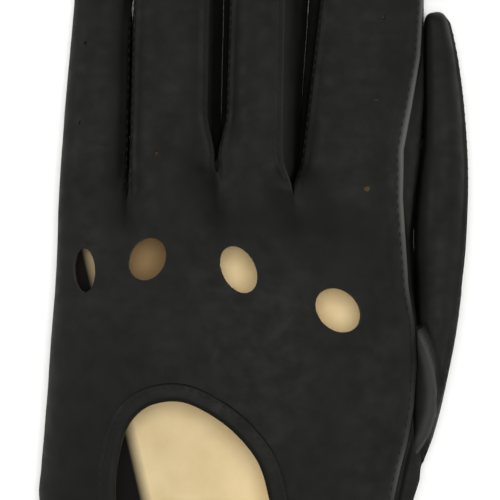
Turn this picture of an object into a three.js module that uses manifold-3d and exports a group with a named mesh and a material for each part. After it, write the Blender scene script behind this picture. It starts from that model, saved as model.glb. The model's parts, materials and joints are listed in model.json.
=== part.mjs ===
// One left-hand driving glove: unlined leather shell, open knuckles, open back and a snap wrist strap.
// Millimetres. +X is the thumb side, +Y the fingertips, +Z out of the back of the hand.
// The glove lies palm down with its palm on z = 0. Every finger section is an XZ slice.
import * as THREE from 'three';
import Module from 'manifold-3d';

const LEATHER = 1.0;          // wall thickness of the glove leather
const GAP = 0.3;              // clearance kept between neighbouring pieces
const PLAN_CENTRE_X = 0.96;   // middle of the finished glove's width; its length is already centred

// Hand shell stations: y, ulnar x, radial x, top z, bottom z
const HAND = [
  { y: -106, ulnar: -43.0, radial: 31.0, top: 25.0, bottom: 0.0 },
  { y: -82, ulnar: -43.5, radial: 29.5, top: 25.0, bottom: 0.0 },
  { y: -52, ulnar: -52.5, radial: 36.0, top: 27.5, bottom: 0.0 },
  { y: -30, ulnar: -51.7, radial: 40.4, top: 29.0, bottom: 0.0 },
  { y: -8, ulnar: -50.2, radial: 40.6, top: 30.0, bottom: 0.0 },
  { y: 8, ulnar: -49.0, radial: 40.2, top: 28.5, bottom: 0.6 },
  { y: 24, ulnar: -48.6, radial: 39.2, top: 25.0, bottom: 3.0 },
  { y: 30, ulnar: -48.4, radial: 38.8, top: 24.0, bottom: 3.4 },
];
const HAND_TOP_POWER = 2.3;
const HAND_PALM_POWER = 3.4;
const HAND_SIDE_LEVEL = 0.38;  // height of the widest line, as a share of the hand height
const RADIAL_SEAM = 20;        // section angle of the raised thumb-side seam
const PALM_SINK = 0.5;         // palm curve pushed under the table line, then pressed flat

// Knuckle fold: the line all four finger stalls turn about, just behind the knuckle holes
const KNUCKLE = { x: 0, y: -7.7, z: 11, slope: -0.16, flex: 40 };

const HOLE_RADIUS = 5.7;
const KNUCKLE_HOLES = [
  { x: -42.5, y: 6.0 },
  { x: -26.6, y: 8.8 },
  { x: -3.8, y: 6.2 },
  { x: 21.0, y: -4.0 },
];

const FINGER_POWER = 2.5;
const BASE_FLEX = { up: 5, down: 30 };
const MIDDLE_FLEX = 60;
const TIP_FLEX = 36;
const AXIS_DROP = 0.15;        // finger hinges sit this share of the half height below the centre
const FORK = 36;               // section half angle of a fourchette
const FORK_TAPER = 18;         // length over which a fourchette narrows toward the fingertip
const SEAM_ANGLE = 1.2;        // half of the angular gap left at a seam

// side.fork: a fourchette is sewn in; otherwise back and palm walls meet at side.seam degrees
const FINGERS = [
  { name: 'index', root: { y: 25.0, x: 24.7, width: 27.6, height: 19.4, z: 12.7 },
    tip: { y: 97, x: 31.4, width: 22.0, height: 14.5, z: 7.8 }, bends: [40, 66],
    radial: { seam: 24 }, ulnar: { fork: true } },
  { name: 'middle', root: { y: 28.5, x: 1.6, width: 17.4, height: 19.6, z: 13.6 },
    tip: { y: 106, x: 3.0, width: 16.0, height: 14.5, z: 7.8 }, bends: [49, 77],
    radial: { fork: true }, ulnar: { fork: true } },
  { name: 'ring', root: { y: 28.5, x: -20.7, width: 20.8, height: 18.6, z: 13.0 },
    tip: { y: 100, x: -18.3, width: 17.6, height: 14.0, z: 7.6 }, bends: [48, 74],
    radial: { fork: true }, ulnar: { fork: true } },
  { name: 'pinky', root: { y: 24.5, x: -40.5, width: 16.2, height: 16.0, z: 11.6 },
    tip: { y: 83, x: -37.3, width: 14.2, height: 12.5, z: 6.9 }, bends: [38, 58],
    radial: { fork: true }, ulnar: { seam: 0 } },
];
const SEGMENTS = ['proximal', 'middle', 'tip'];

// Thumb stations: y, inner x, outer x, top z, bottom z
const THUMB = [
  { y: -38, inner: 41.2, outer: 43.4, top: 15.0, bottom: 5.0 },
  { y: -30, inner: 41.2, outer: 47.6, top: 19.5, bottom: 2.5 },
  { y: -16, inner: 41.2, outer: 51.2, top: 22.5, bottom: 0.8 },
  { y: 4, inner: 41.6, outer: 53.4, top: 22.5, bottom: 0.6 },
  { y: 26, inner: 42.4, outer: 54.2, top: 21.0, bottom: 0.5 },
  { y: 44, inner: 43.7, outer: 53.4, top: 19.5, bottom: 0.4 },
  { y: 58, inner: 44.2, outer: 52.0, top: 18.0, bottom: 0.4 },
  { y: 72, inner: 44.6, outer: 50.6, top: 16.5, bottom: 0.4 },
];
const THUMB_TIP_Y = 70;
const THUMB_ROUND = 9;
const THUMB_BENDS = [4, 38];
const THUMB_FLEX = [35, 50];
const THUMB_MOUTH = { open: -14, closed: -1 };  // the thumb root opens toward the hand between these
const THUMB_WINDOW = { x: 38, y: -23, z: 11, lx: 12, ly: 22, lz: 12 };

// Back opening: half of its edge, from the cuff up the thumb side, over the top and down again
const OPENING_EDGE = [
  [-10.5, -110], [-10.5, -84], [-8.6, -79], [-2, -72], [3, -63], [4.8, -56], [4.5, -51.5],
  [1.5, -41.5], [-5.25, -33.25], [-13.5, -27.75], [-20, -26], [-27, -27.6], [-32, -32.8],
  [-33.8, -42], [-34, -51], [-33, -60], [-28, -71], [-20.4, -79], [-18.5, -84], [-18.5, -110],
];
const BINDING = { width: 3.8, thick: 0.7, steps: 54, stopY: -105.5 };

const HEM = { start: -105.6, end: -99.6, thick: 0.9, from: -249, to: 91 };
const STRAP = { start: -38, end: 12, y: -91.5, half: 6.5, thick: 1.2 };
const STRAP_LIFT = [{ at: -38, lift: 0.4 }, { at: -24, lift: 1.5 }, { at: -4, lift: 2.4 }, { at: 12, lift: 3.5 }];
const SNAP = { x: 4, y: -91.5, sides: 24 };

const rad = THREE.MathUtils.degToRad;
const tan = (degrees) => Math.tan(rad(degrees));
const wasm = await Module();
wasm.setup();

const leather = () => new THREE.MeshStandardMaterial({ color: 0x1d1d1c, roughness: 0.55 });
const trim = () => new THREE.MeshStandardMaterial({ color: 0x161615, roughness: 0.5 });
const metal = () => new THREE.MeshStandardMaterial({ color: 0x8d8a84, roughness: 0.3, metalness: 1 });

function station(rows, y) {
  const last = rows.length - 1;
  let i = 0;
  while (i < last - 1 && y > rows[i + 1].y) i += 1;
  const a = rows[i];
  const b = rows[i + 1];
  const t = THREE.MathUtils.clamp((y - a.y) / (b.y - a.y), 0, 1);
  const out = {};
  for (const key of Object.keys(a)) out[key] = THREE.MathUtils.lerp(a[key], b[key], t);
  return out;
}

function power(value, n) {
  return Math.sign(value) * Math.pow(Math.abs(value), 2 / n);
}

// Superellipse slice: half width a, rise above and drop below the widest line
function slice(angle, a, rise, drop, nTop, nBottom) {
  const c = Math.cos(rad(angle));
  const s = Math.sin(rad(angle));
  return s >= 0
    ? [a * power(c, nTop), rise * power(s, nTop)]
    : [a * power(c, nBottom), drop * power(s, nBottom)];
}

function handPoint(angle, y, inset) {
  const h = station(HAND, y);
  const side = h.bottom + HAND_SIDE_LEVEL * (h.top - h.bottom);
  const sink = h.bottom < 0.1 ? PALM_SINK : 0;
  const [x, z] = slice(angle, (h.radial - h.ulnar) / 2 - inset, h.top - side - inset,
    side - h.bottom + sink - inset, HAND_TOP_POWER, HAND_PALM_POWER);
  return [(h.radial + h.ulnar) / 2 + x, y, Math.max(side + z, inset)];
}

function handTop(x, y) {
  const h = station(HAND, y);
  const side = h.bottom + HAND_SIDE_LEVEL * (h.top - h.bottom);
  const across = Math.abs(x - (h.radial + h.ulnar) / 2) / ((h.radial - h.ulnar) / 2);
  const n = HAND_TOP_POWER;
  return side + (h.top - side) * Math.pow(Math.max(0, 1 - Math.pow(across, n)), 1 / n);
}

function fingerPoint(f, angle, y, inset, shift) {
  const t = (y - f.root.y) / (f.tip.y - f.root.y);
  const mix = (key) => THREE.MathUtils.lerp(f.root[key], f.tip[key], t);
  const round = f.tip.width * 0.55;
  const k = Math.max(0, (y - (f.tip.y - round)) / round);
  const swell = Math.sqrt(Math.max(0, 1 - k * k));
  const half = Math.max(0, (mix('width') / 2 - inset) * swell);
  const tall = Math.max(0, (mix('height') / 2 - inset) * swell);
  const [x, z] = slice(angle, half, tall, tall, FINGER_POWER, FINGER_POWER);
  return [mix('x') + x, y - inset * Math.min(1, k), mix('z') + z + shift];
}

function fingerAxisZ(f, y) {
  const t = (y - f.root.y) / (f.tip.y - f.root.y);
  const tall = THREE.MathUtils.lerp(f.root.height, f.tip.height, t) / 2;
  return THREE.MathUtils.lerp(f.root.z, f.tip.z, t) - AXIS_DROP * tall;
}

function thumbPoint(angle, y, inset, shift) {
  const h = station(THUMB, y);
  const k = Math.max(0, (y - (THUMB_TIP_Y - THUMB_ROUND)) / THUMB_ROUND);
  const swell = Math.sqrt(Math.max(0, 1 - k * k));
  const half = Math.max(0, ((h.outer - h.inner) / 2 - inset) * swell);
  const tall = Math.max(0, ((h.top - h.bottom) / 2 - inset) * swell);
  const [x, z] = slice(angle, half, tall, tall, FINGER_POWER, FINGER_POWER);
  const open = mouthOpen(y);
  const middle = THREE.MathUtils.lerp((h.outer + h.inner) / 2, h.inner, open);
  return [middle + x * (1 + open), y - inset * Math.min(1, k), (h.top + h.bottom) / 2 + z + shift];
}

function mouthOpen(y) {
  return 1 - THREE.MathUtils.smoothstep(y, THUMB_MOUTH.open, THUMB_MOUTH.closed);
}

// Last section angle of a thumb wall: a full half turn where closed, a quarter where open
function mouthAngle(y) {
  const open = mouthOpen(y);
  const reach = Math.pow((1 - open) / (1 + open), FINGER_POWER / 2);
  return 180 - THREE.MathUtils.radToDeg(Math.acos(Math.min(1, reach))) - 0.5;
}

// Distance a wall stays back from a hinge plane, so that it clears its neighbour when bent
function notch(z, axisZ, down, up) {
  return GAP / 2 + Math.max(0, axisZ - z) * tan(down / 2) + Math.max(0, z - axisZ) * tan(up / 2);
}

// Weld a two-skin grid into one closed solid; at(u, v, skin) has skin 0 outside, 1 inside
function wall(steps, at) {
  const positions = [];
  const seen = new Map();
  const id = (u, v, skin) => {
    const p = at(u / steps.u, v / steps.v, skin).map((value) => Math.round(value * 1e4) / 1e4);
    const key = p.join();
    if (!seen.has(key)) {
      seen.set(key, positions.length / 3);
      positions.push(...p);
    }
    return seen.get(key);
  };
  const index = [];
  const quad = (a, b, c, d) => {
    for (const t of [[a, b, c], [a, c, d]]) {
      if (t[0] !== t[1] && t[1] !== t[2] && t[2] !== t[0]) index.push(...t);
    }
  };
  for (let u = 0; u < steps.u; u += 1) {
    for (let v = 0; v < steps.v; v += 1) {
      quad(id(u, v, 0), id(u + 1, v, 0), id(u + 1, v + 1, 0), id(u, v + 1, 0));
      quad(id(u, v, 1), id(u, v + 1, 1), id(u + 1, v + 1, 1), id(u + 1, v, 1));
    }
    quad(id(u, 0, 1), id(u + 1, 0, 1), id(u + 1, 0, 0), id(u, 0, 0));
    quad(id(u, steps.v, 0), id(u + 1, steps.v, 0), id(u + 1, steps.v, 1), id(u, steps.v, 1));
  }
  for (let v = 0; v < steps.v; v += 1) {
    quad(id(0, v, 0), id(0, v + 1, 0), id(0, v + 1, 1), id(0, v, 1));
    quad(id(steps.u, v, 1), id(steps.u, v + 1, 1), id(steps.u, v + 1, 0), id(steps.u, v, 0));
  }
  return outward({ positions, index });
}

function outward(body) {
  const p = (i) => new THREE.Vector3().fromArray(body.positions, 3 * i);
  let volume = 0;
  for (let i = 0; i < body.index.length; i += 3) {
    const [a, b, c] = body.index.slice(i, i + 3).map(p);
    volume += a.dot(b.cross(c));
  }
  if (volume < 0) {
    for (let i = 0; i < body.index.length; i += 3) {
      [body.index[i], body.index[i + 1]] = [body.index[i + 1], body.index[i]];
    }
  }
  return body;
}

// Upright prism between two heights over a plan outline
function prism(outline, low, high) {
  const n = outline.length;
  const flat = outline.map(([x, y]) => new THREE.Vector2(x, y));
  const positions = [];
  for (const z of [low, high]) outline.forEach(([x, y]) => positions.push(x, y, z));
  const index = [];
  for (const [a, b, c] of THREE.ShapeUtils.triangulateShape(flat, [])) {
    index.push(a, c, b, a + n, b + n, c + n);
  }
  const turn = THREE.ShapeUtils.isClockWise(flat) ? -1 : 1;
  for (let i = 0; i < n; i += 1) {
    const j = (i + 1) % n;
    const side = turn > 0 ? [i, j, j + n, i, j + n, i + n] : [i, j + n, j, i, i + n, j + n];
    index.push(...side);
  }
  return outward({ positions, index });
}

function box({ x, y, z, lx, ly, lz }) {
  const outline = [[-1, -1], [1, -1], [1, 1], [-1, 1]].map(([i, j]) => [x + i * lx / 2, y + j * ly / 2]);
  return prism(outline, z - lz / 2, z + lz / 2);
}

// Round punch through the back, square to the leather at (x, y)
function punch({ x, y }) {
  const e = 0.5;
  const normal = new THREE.Vector3((handTop(x - e, y) - handTop(x + e, y)) / (2 * e),
    (handTop(x, y - e) - handTop(x, y + e)) / (2 * e), 1).normalize();
  const centre = new THREE.Vector3(x, y, handTop(x, y));
  const spin = new THREE.Quaternion().setFromUnitVectors(new THREE.Vector3(0, 0, 1), normal);
  const ring = [];
  const sides = 28;
  for (let i = 0; i < sides; i += 1) {
    const a = (2 * Math.PI * i) / sides;
    ring.push([HOLE_RADIUS * Math.cos(a), HOLE_RADIUS * Math.sin(a)]);
  }
  const body = prism(ring, -5, 7);
  for (let i = 0; i < body.positions.length; i += 3) {
    new THREE.Vector3().fromArray(body.positions, i).applyQuaternion(spin).add(centre)
      .toArray(body.positions, i);
  }
  return body;
}

function toManifold(body) {
  return new wasm.Manifold(new wasm.Mesh({
    numProp: 3,
    vertProperties: new Float32Array(body.positions),
    triVerts: new Uint32Array(body.index),
  }));
}

function cut(body, cutters) {
  let solid = toManifold(body);
  for (const cutter of cutters) solid = solid.subtract(toManifold(cutter));
  const mesh = solid.getMesh();
  return { positions: Array.from(mesh.vertProperties), index: Array.from(mesh.triVerts) };
}

// Lathe profile [radius, height] turned about the snap's axis
function turned(profile, z) {
  const positions = [];
  const index = [];
  const n = profile.length;
  for (let i = 0; i < SNAP.sides; i += 1) {
    const a = (2 * Math.PI * i) / SNAP.sides;
    profile.forEach(([r, h]) => positions.push(SNAP.x + r * Math.cos(a), SNAP.y + r * Math.sin(a), z + h));
    const next = (i + 1) % SNAP.sides;
    for (let j = 0; j < n; j += 1) {
      const k = (j + 1) % n;
      const corners = [i * n + j, next * n + j, next * n + k, i * n + k];
      if (profile[j][0] > 0) index.push(corners[0], corners[1], corners[2]);
      if (profile[k][0] > 0) index.push(corners[0], corners[2], corners[3]);
    }
  }
  return outward(welded({ positions, index }));
}

function welded(body) {
  const seen = new Map();
  const positions = [];
  const index = body.index.map((i) => {
    const p = body.positions.slice(3 * i, 3 * i + 3).map((value) => Math.round(value * 1e4) / 1e4);
    const key = p.join();
    if (!seen.has(key)) {
      seen.set(key, positions.length / 3);
      positions.push(...p);
    }
    return seen.get(key);
  });
  return { positions, index };
}

const glove = new THREE.Group();
glove.name = 'driving_glove_left';

function add(name, body, material) {
  const geometry = new THREE.BufferGeometry();
  geometry.setAttribute('position', new THREE.Float32BufferAttribute(body.positions, 3));
  geometry.setIndex(body.index);
  geometry.computeVertexNormals();
  const mesh = new THREE.Mesh(geometry, material);
  mesh.name = name;
  glove.add(mesh);
}

// Hand panels, before and after the knuckle fold
function knuckleEdge(angle, inset, side) {
  let y = KNUCKLE.y;
  const length = Math.hypot(1, KNUCKLE.slope);
  for (let i = 0; i < 4; i += 1) {
    const [x, , z] = handPoint(angle, y, inset);
    const back = notch(z, KNUCKLE.z, KNUCKLE.flex, 0) * length;
    y = KNUCKLE.y + KNUCKLE.slope * (x - KNUCKLE.x) + side * back;
  }
  return y;
}

function frontEdge(angle, inset) {
  const reach = 3;
  const [x, , z] = handPoint(angle, FINGERS[0].root.y, inset);
  let y = Infinity;
  for (const f of FINGERS) {
    if (Math.abs(x - f.root.x) < f.root.width / 2 + reach) {
      y = Math.min(y, f.root.y - notch(z, fingerAxisZ(f, f.root.y), BASE_FLEX.down, BASE_FLEX.up));
    }
  }
  return y;
}

function handPanel(from, to, steps, start, end) {
  return wall(steps, (u, v, skin) => {
    const inset = skin * LEATHER;
    const angle = THREE.MathUtils.lerp(from, to, u);
    const y = THREE.MathUtils.lerp(start(angle, inset), end(angle, inset), v);
    return handPoint(angle, y, inset);
  });
}

const cuffEnd = () => HAND[0].y;
const beforeKnuckles = (angle, inset) => knuckleEdge(angle, inset, -1);
const afterKnuckles = (angle, inset) => knuckleEdge(angle, inset, 1);
const backArc = [RADIAL_SEAM + 0.4, 180 - 0.4];
const palmArc = [180 + 0.4, 360 + RADIAL_SEAM - 0.4];

const openingCurve = new THREE.CatmullRomCurve3(OPENING_EDGE.map(([x, y]) => new THREE.Vector3(x, y, 0)));
const openingOutline = openingCurve.getPoints(64).map((p) => [p.x, p.y]);

add('back_panel', cut(handPanel(...backArc, { u: 26, v: 14 }, cuffEnd, beforeKnuckles),
  [prism(openingOutline, 12, 60)]), leather());
add('palm_panel', cut(handPanel(...palmArc, { u: 26, v: 10 }, cuffEnd, beforeKnuckles),
  [box(THUMB_WINDOW)]), leather());
add('knuckle_back_panel', cut(handPanel(...backArc, { u: 34, v: 6 }, afterKnuckles, frontEdge),
  KNUCKLE_HOLES.map(punch)), leather());
add('knuckle_palm_panel', handPanel(...palmArc, { u: 30, v: 4 }, afterKnuckles, frontEdge), leather());

// Binding sewn round the back opening, lying on the outside of the back panel
add('opening_binding', wall({ u: BINDING.steps, v: 2 }, (u, v, skin) => {
  const edge = openingCurve.getPointAt(0.045 + 0.91 * u);
  const along = openingCurve.getTangentAt(0.045 + 0.91 * u);
  const x = edge.x + along.y * BINDING.width * v;
  const y = Math.max(edge.y - along.x * BINDING.width * v, BINDING.stopY);
  return [x, y, handTop(x, y) + GAP + (1 - skin) * BINDING.thick];
}), trim());

// Turned hem inside the cuff
add('cuff_hem', wall({ u: 26, v: 1 }, (u, v, skin) => {
  const angle = THREE.MathUtils.lerp(HEM.from, HEM.to, u);
  return handPoint(angle, THREE.MathUtils.lerp(HEM.start, HEM.end, v), LEATHER + GAP + skin * HEM.thick);
}), trim());

// Finger stalls
function forkAngle(f, y, gap) {
  const t = THREE.MathUtils.clamp((f.tip.y - 4 - y) / FORK_TAPER, 0, 1);
  return Math.max(3, FORK * t) - gap;
}

function seamAngles(f, y) {
  const shrink = THREE.MathUtils.clamp((f.tip.y - 4 - y) / FORK_TAPER, 0, 1);
  const half = (side) => (side.fork ? Math.max(3, FORK * shrink) + SEAM_ANGLE : side.seam * shrink + 0.6);
  const under = (side) => (side.fork ? Math.max(3, FORK * shrink) + SEAM_ANGLE : 0.6 - side.seam * shrink);
  return {
    back: [half(f.radial), 180 - half(f.ulnar)],
    palm: [180 + under(f.ulnar), 360 - under(f.radial)],
  };
}

// Where one line of a stall wall starts and ends; angleAt gives that line's section angle at a given y
function segmentSpan(f, k, angleAt, inset, shift) {
  const bends = [f.root.y, ...f.bends];
  const flex = [BASE_FLEX, { up: 0, down: MIDDLE_FLEX }, { up: 0, down: TIP_FLEX }];
  const edge = (j, side) => {
    const z = fingerPoint(f, angleAt(bends[j]), bends[j], inset, shift)[2];
    return bends[j] + side * notch(z, fingerAxisZ(f, bends[j]), flex[j].down, flex[j].up);
  };
  return [edge(k, 1), k + 1 < bends.length ? edge(k + 1, -1) : f.tip.y];
}

// Rows crowd toward the fingertip so that its rounding is smooth
const crowd = (v, last) => (last ? Math.sin(v * Math.PI / 2) * 0.35 + v * 0.65 : v);

for (const f of FINGERS) {
  SEGMENTS.forEach((segment, k) => {
    const last = k === SEGMENTS.length - 1;
    for (const [part, shift] of [['back', GAP / 2], ['palm', -GAP / 2]]) {
      add(`${f.name}_${segment}_${part}`, wall({ u: 8, v: last ? 7 : 3 }, (u, v, skin) => {
        const inset = skin * LEATHER;
        const angleAt = (y) => THREE.MathUtils.lerp(...seamAngles(f, y)[part], u);
        const y = THREE.MathUtils.lerp(...segmentSpan(f, k, angleAt, inset, shift), crowd(v, last));
        return fingerPoint(f, angleAt(y), y, inset, shift);
      }), leather());
    }
    for (const [side, centre] of [['radial', 0], ['ulnar', 180]]) {
      if (!f[side].fork) continue;
      add(`${f.name}_${segment}_${side}_fourchette`, wall({ u: 4, v: last ? 5 : 3 }, (u, v, skin) => {
        const inset = skin * LEATHER;
        const angleAt = (y) => centre + (2 * u - 1) * forkAngle(f, y, SEAM_ANGLE);
        const span = segmentSpan(f, k, angleAt, inset, 0);
        if (last) span[1] = f.tip.y - 5;
        const y = THREE.MathUtils.lerp(...span, v);
        return fingerPoint(f, angleAt(y), y, inset, 0);
      }), leather());
    }
  });
}

// Thumb: an open root beside the hand, then two closed segments
const thumbAxisZ = (y) => {
  const h = station(THUMB, y);
  return (h.top + h.bottom) / 2 - AXIS_DROP * (h.top - h.bottom) / 2;
};

function thumbSpan(k, angle, inset, shift) {
  const edge = (j, side) => {
    const z = thumbPoint(angle, THUMB_BENDS[j], inset, shift)[2];
    return THUMB_BENDS[j] + side * notch(z, thumbAxisZ(THUMB_BENDS[j]), THUMB_FLEX[j], 0);
  };
  const start = k === 0 ? THUMB[0].y : edge(k - 1, 1);
  return [start, k < THUMB_BENDS.length ? edge(k, -1) : THUMB_TIP_Y];
}

['root', 'proximal', 'tip'].forEach((segment, k) => {
  for (const [part, shift, turn] of [['back', GAP / 2, 1], ['palm', -GAP / 2, -1]]) {
    const last = k === 2;
    add(`thumb_${segment}_${part}`, wall({ u: 8, v: k === 1 ? 3 : 7 }, (u, v, skin) => {
      const inset = skin * LEATHER;
      const closed = turn * THREE.MathUtils.lerp(0.5, 179.5, u);
      const span = thumbSpan(k, closed, inset, shift);
      const y = THREE.MathUtils.lerp(...span, crowd(v, last));
      return thumbPoint(turn * THREE.MathUtils.lerp(0.5, mouthAngle(y), u), y, inset, shift);
    }), leather());
  }
});

// Wrist strap across the slit, closed by a snap
function lift(x) {
  let i = 0;
  while (i < STRAP_LIFT.length - 2 && x > STRAP_LIFT[i + 1].at) i += 1;
  const [a, b] = [STRAP_LIFT[i], STRAP_LIFT[i + 1]];
  return THREE.MathUtils.mapLinear(x, a.at, b.at, a.lift, b.lift);
}

add('wrist_strap', wall({ u: 26, v: 3 }, (u, v, skin) => {
  const x = THREE.MathUtils.lerp(STRAP.start, STRAP.end, Math.sin(u * Math.PI / 2) * 0.3 + u * 0.7);
  const k = Math.max(0, (x - (STRAP.end - STRAP.half)) / STRAP.half);
  const half = STRAP.half * Math.sqrt(Math.max(0, 1 - k * k * 0.94));
  const y = STRAP.y + (2 * v - 1) * half;
  return [x, y, handTop(x, STRAP.y) + lift(x) + (1 - skin) * STRAP.thick];
}), leather());

const snapSeat = handTop(SNAP.x - 4, SNAP.y) + GAP;
const strapTop = handTop(SNAP.x - 6, SNAP.y) + lift(SNAP.x) + STRAP.thick;
add('snap_stud', turned([[0, 0], [3.4, 0], [3.4, 0.5], [1.8, 0.5], [1.8, 1.1], [2, 1.5], [1.5, 1.8], [0, 1.8]],
  snapSeat), metal());
add('snap_socket', turned([[2.4, 0], [4.8, 0], [4.8, 1], [2.4, 1]], snapSeat + 0.8), metal());
add('snap_cap', turned([[0, 0], [5.6, 0], [6, 0.4], [5.4, 1.2], [3.6, 1.8], [0, 2.1]], strapTop + GAP), metal());
add('snap_backing_washer', turned([[0, 0], [3.6, 0], [3.6, 0.5], [0, 0.5]],
  handTop(SNAP.x + 4, SNAP.y) - LEATHER - GAP - 0.7), metal());

for (const mesh of glove.children) mesh.geometry.translate(-PLAN_CENTRE_X, 0, 0);

export default glove;
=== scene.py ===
import bpy
import json
import math
import numpy as np
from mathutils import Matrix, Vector


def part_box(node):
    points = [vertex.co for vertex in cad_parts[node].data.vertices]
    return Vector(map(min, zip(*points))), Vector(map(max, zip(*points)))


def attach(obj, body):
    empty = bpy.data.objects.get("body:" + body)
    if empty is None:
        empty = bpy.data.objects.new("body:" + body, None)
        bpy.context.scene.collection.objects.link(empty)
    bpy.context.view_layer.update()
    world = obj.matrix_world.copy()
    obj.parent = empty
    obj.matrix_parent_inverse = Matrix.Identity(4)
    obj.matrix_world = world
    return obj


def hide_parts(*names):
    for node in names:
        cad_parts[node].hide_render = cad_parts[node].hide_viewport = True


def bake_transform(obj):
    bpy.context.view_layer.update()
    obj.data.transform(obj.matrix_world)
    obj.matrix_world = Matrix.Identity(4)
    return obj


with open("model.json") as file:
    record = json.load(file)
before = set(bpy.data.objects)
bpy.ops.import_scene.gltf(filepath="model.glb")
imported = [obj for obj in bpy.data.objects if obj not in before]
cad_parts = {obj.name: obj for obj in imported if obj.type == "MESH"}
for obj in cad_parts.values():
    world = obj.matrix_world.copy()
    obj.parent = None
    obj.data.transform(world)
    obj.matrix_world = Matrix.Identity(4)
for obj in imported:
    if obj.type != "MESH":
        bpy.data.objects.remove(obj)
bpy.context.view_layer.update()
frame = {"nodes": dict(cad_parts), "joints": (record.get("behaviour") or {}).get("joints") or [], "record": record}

# All lengths below are millimetres in the CAD frame; meshes are written in metres.
MM = 0.001
LEATHER, FORK_LEATHER = 1.0, 0.8                    # thickness of the walls and of the fourchettes
FINGERS = ("pinky", "ring", "middle", "index")      # from the little finger to the thumb side
SEGMENTS = ("proximal", "middle", "tip")
SIDES = ("radial", "ulnar")
PARTS = ("back", "palm")
ROW_STEP = 0.8
FACE, FLESH, CUT_EDGE, STITCH = range(4)            # material numbers within a piece
joints = {j["name"]: j for j in frame["joints"]}


def pivot(name):
    return np.array(joints[name]["pos_m"]) / MM


def box(*nodes):
    lows, highs = zip(*[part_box(n) for n in nodes])
    return np.min(np.array(lows), axis=0) / MM, np.max(np.array(highs), axis=0) / MM


def smooth(a, b, x):
    t = np.clip((np.asarray(x, float) - a) / (b - a), 0, 1)
    return t * t * (3 - 2 * t)


def unit(v):
    return v / np.maximum(np.linalg.norm(v, axis=-1, keepdims=True), 1e-9)


def bell(x, width, k=1.0):
    return np.exp(-k * (x / width) ** 2)


def power(v, n):
    return np.sign(v) * np.abs(v) ** (2.0 / n)


def run_length(path):
    """Arc length from the first point of a path to each of its points."""
    return np.concatenate([[0], np.cumsum(np.linalg.norm(np.diff(path, axis=0), axis=1))])


def follow(at, run, path):
    """Points of a path where its arc length or other running value is at."""
    return np.array([np.interp(at, run, line) for line in path.T]).T


def blur(line, weights):
    """A line smoothed by the given weights, with its ends held."""
    return np.convolve(np.pad(line, len(weights) // 2, mode="edge"), weights, mode="valid")




# ---------------------------------------------------------------- the hand and finger shapes
SHIFT = pivot("knuckle_fold")[0]                    # plan shift of the CAD hand stations
# y, ulnar x, radial x, top z, bottom z: the same stations the CAD hand is lofted through
HAND = np.array([
    (-106, -43.0, 31.0, 25.0, 0.0), (-82, -43.5, 29.5, 25.0, 0.0), (-52, -52.5, 36.0, 27.5, 0.0),
    (-30, -51.7, 40.4, 29.0, 0.0), (-8, -50.2, 40.6, 30.0, 0.0), (8, -49.0, 40.2, 28.5, 0.6),
    (24, -48.6, 39.2, 25.0, 3.0), (30, -48.4, 38.8, 24.0, 3.4),
])
HAND_TOP_N, HAND_PALM_N, SIDE_LEVEL, RADIAL_SEAM = 2.3, 3.4, 0.38, 20.0
FINGER_N, FORK, FORK_TAPER, AXIS_DROP = 2.5, 36.0, 12.0, 0.15
# Seam angle above the middle of each stall where it differs from the CAD's even setting
BACK_SEAM = {("middle", "radial"): 56.0, ("index", "radial"): 22.0, ("pinky", "radial"): 12.0}
ULNAR_SEAM = 14.0
# Centre and half-width corrections of each stall, reached 48 mm out from its root
FILL = {"pinky": (-0.8, 0.0), "ring": (-0.7, 0.9), "middle": (0.2, 0.15), "index": (0.25, 0.75)}
# Thumb-side seam of the back: y, x. Below it the palm leather swells out: y, x
SEAM_LINE = np.array([
    (-51.5, 35.2), (-43, 37.0), (-36, 38.7), (-28, 40.1), (-18, 40.8), (-8, 40.2), (1.5, 38.6), (13, 37.9),
    (24, 37.2), (36, 37.4), (47, 39.5), (60, 41.6), (73.5, 42.4),
])
BODY_LINE = np.array([
    (-80, 30.4), (-70, 34.0), (-60, 37.6), (-52, 40.4), (-47, 41.9), (-40, 42.4), (-34, 41.4), (-24, 41.2),
    (-14, 41.4), (-6, 41.2), (4, 40.6), (14, 40.3), (24, 40.8), (32, 41.8), (40, 42.6), (47, 42.9),
    (60, 43.0), (73, 43.2),
])

# Outward correction of the little-finger side: y, x
ULNAR_EASE = np.array([
    (-84, 0), (-66, -1.6), (-56, -2.5), (-50, -2.3), (-45, -1.6), (-35, -1.0), (-25, -0.75), (0, -0.7),
    (20, -0.75), (45, -0.5), (60, 0), (73, 0.4), (83, 0.2),
])

dense_y = np.arange(-112, 44, 0.5)
kernel = np.exp(-0.5 * (np.arange(-24, 25) * 0.5 / 4.5) ** 2)
kernel /= kernel.sum()
dense = [blur(np.interp(dense_y, HAND[:, 0], HAND[:, column]), kernel) for column in range(1, 5)]


def hand_at(y):
    u, r, t, b = (np.interp(y, dense_y, d) for d in dense)
    return u + SHIFT, r + SHIFT, t, b


def hand_curve(angle, y):
    """Points of the hand slice at y for section angles in degrees."""
    u, r, t, b = hand_at(y)
    side = b + SIDE_LEVEL * (t - b)
    sink = 0.5 * (1 - smooth(0, 0.6, b))
    c, s = np.cos(np.radians(angle)), np.sin(np.radians(angle))
    up = s >= 0
    half = (r - u) / 2
    x = (u + r) / 2 + half * np.where(up, power(c, HAND_TOP_N), power(c, HAND_PALM_N))
    z = side + np.where(up, (t - side) * power(s, HAND_TOP_N), (side - b + sink) * power(s, HAND_PALM_N))
    return x, np.maximum(z, 0)


def hand_top(x, y):
    u, r, t, b = hand_at(y)
    side = b + SIDE_LEVEL * (t - b)
    across = np.abs(x - (u + r) / 2) / ((r - u) / 2)
    return side + (t - side) * np.maximum(0, 1 - across ** HAND_TOP_N) ** (1 / HAND_TOP_N)


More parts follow.
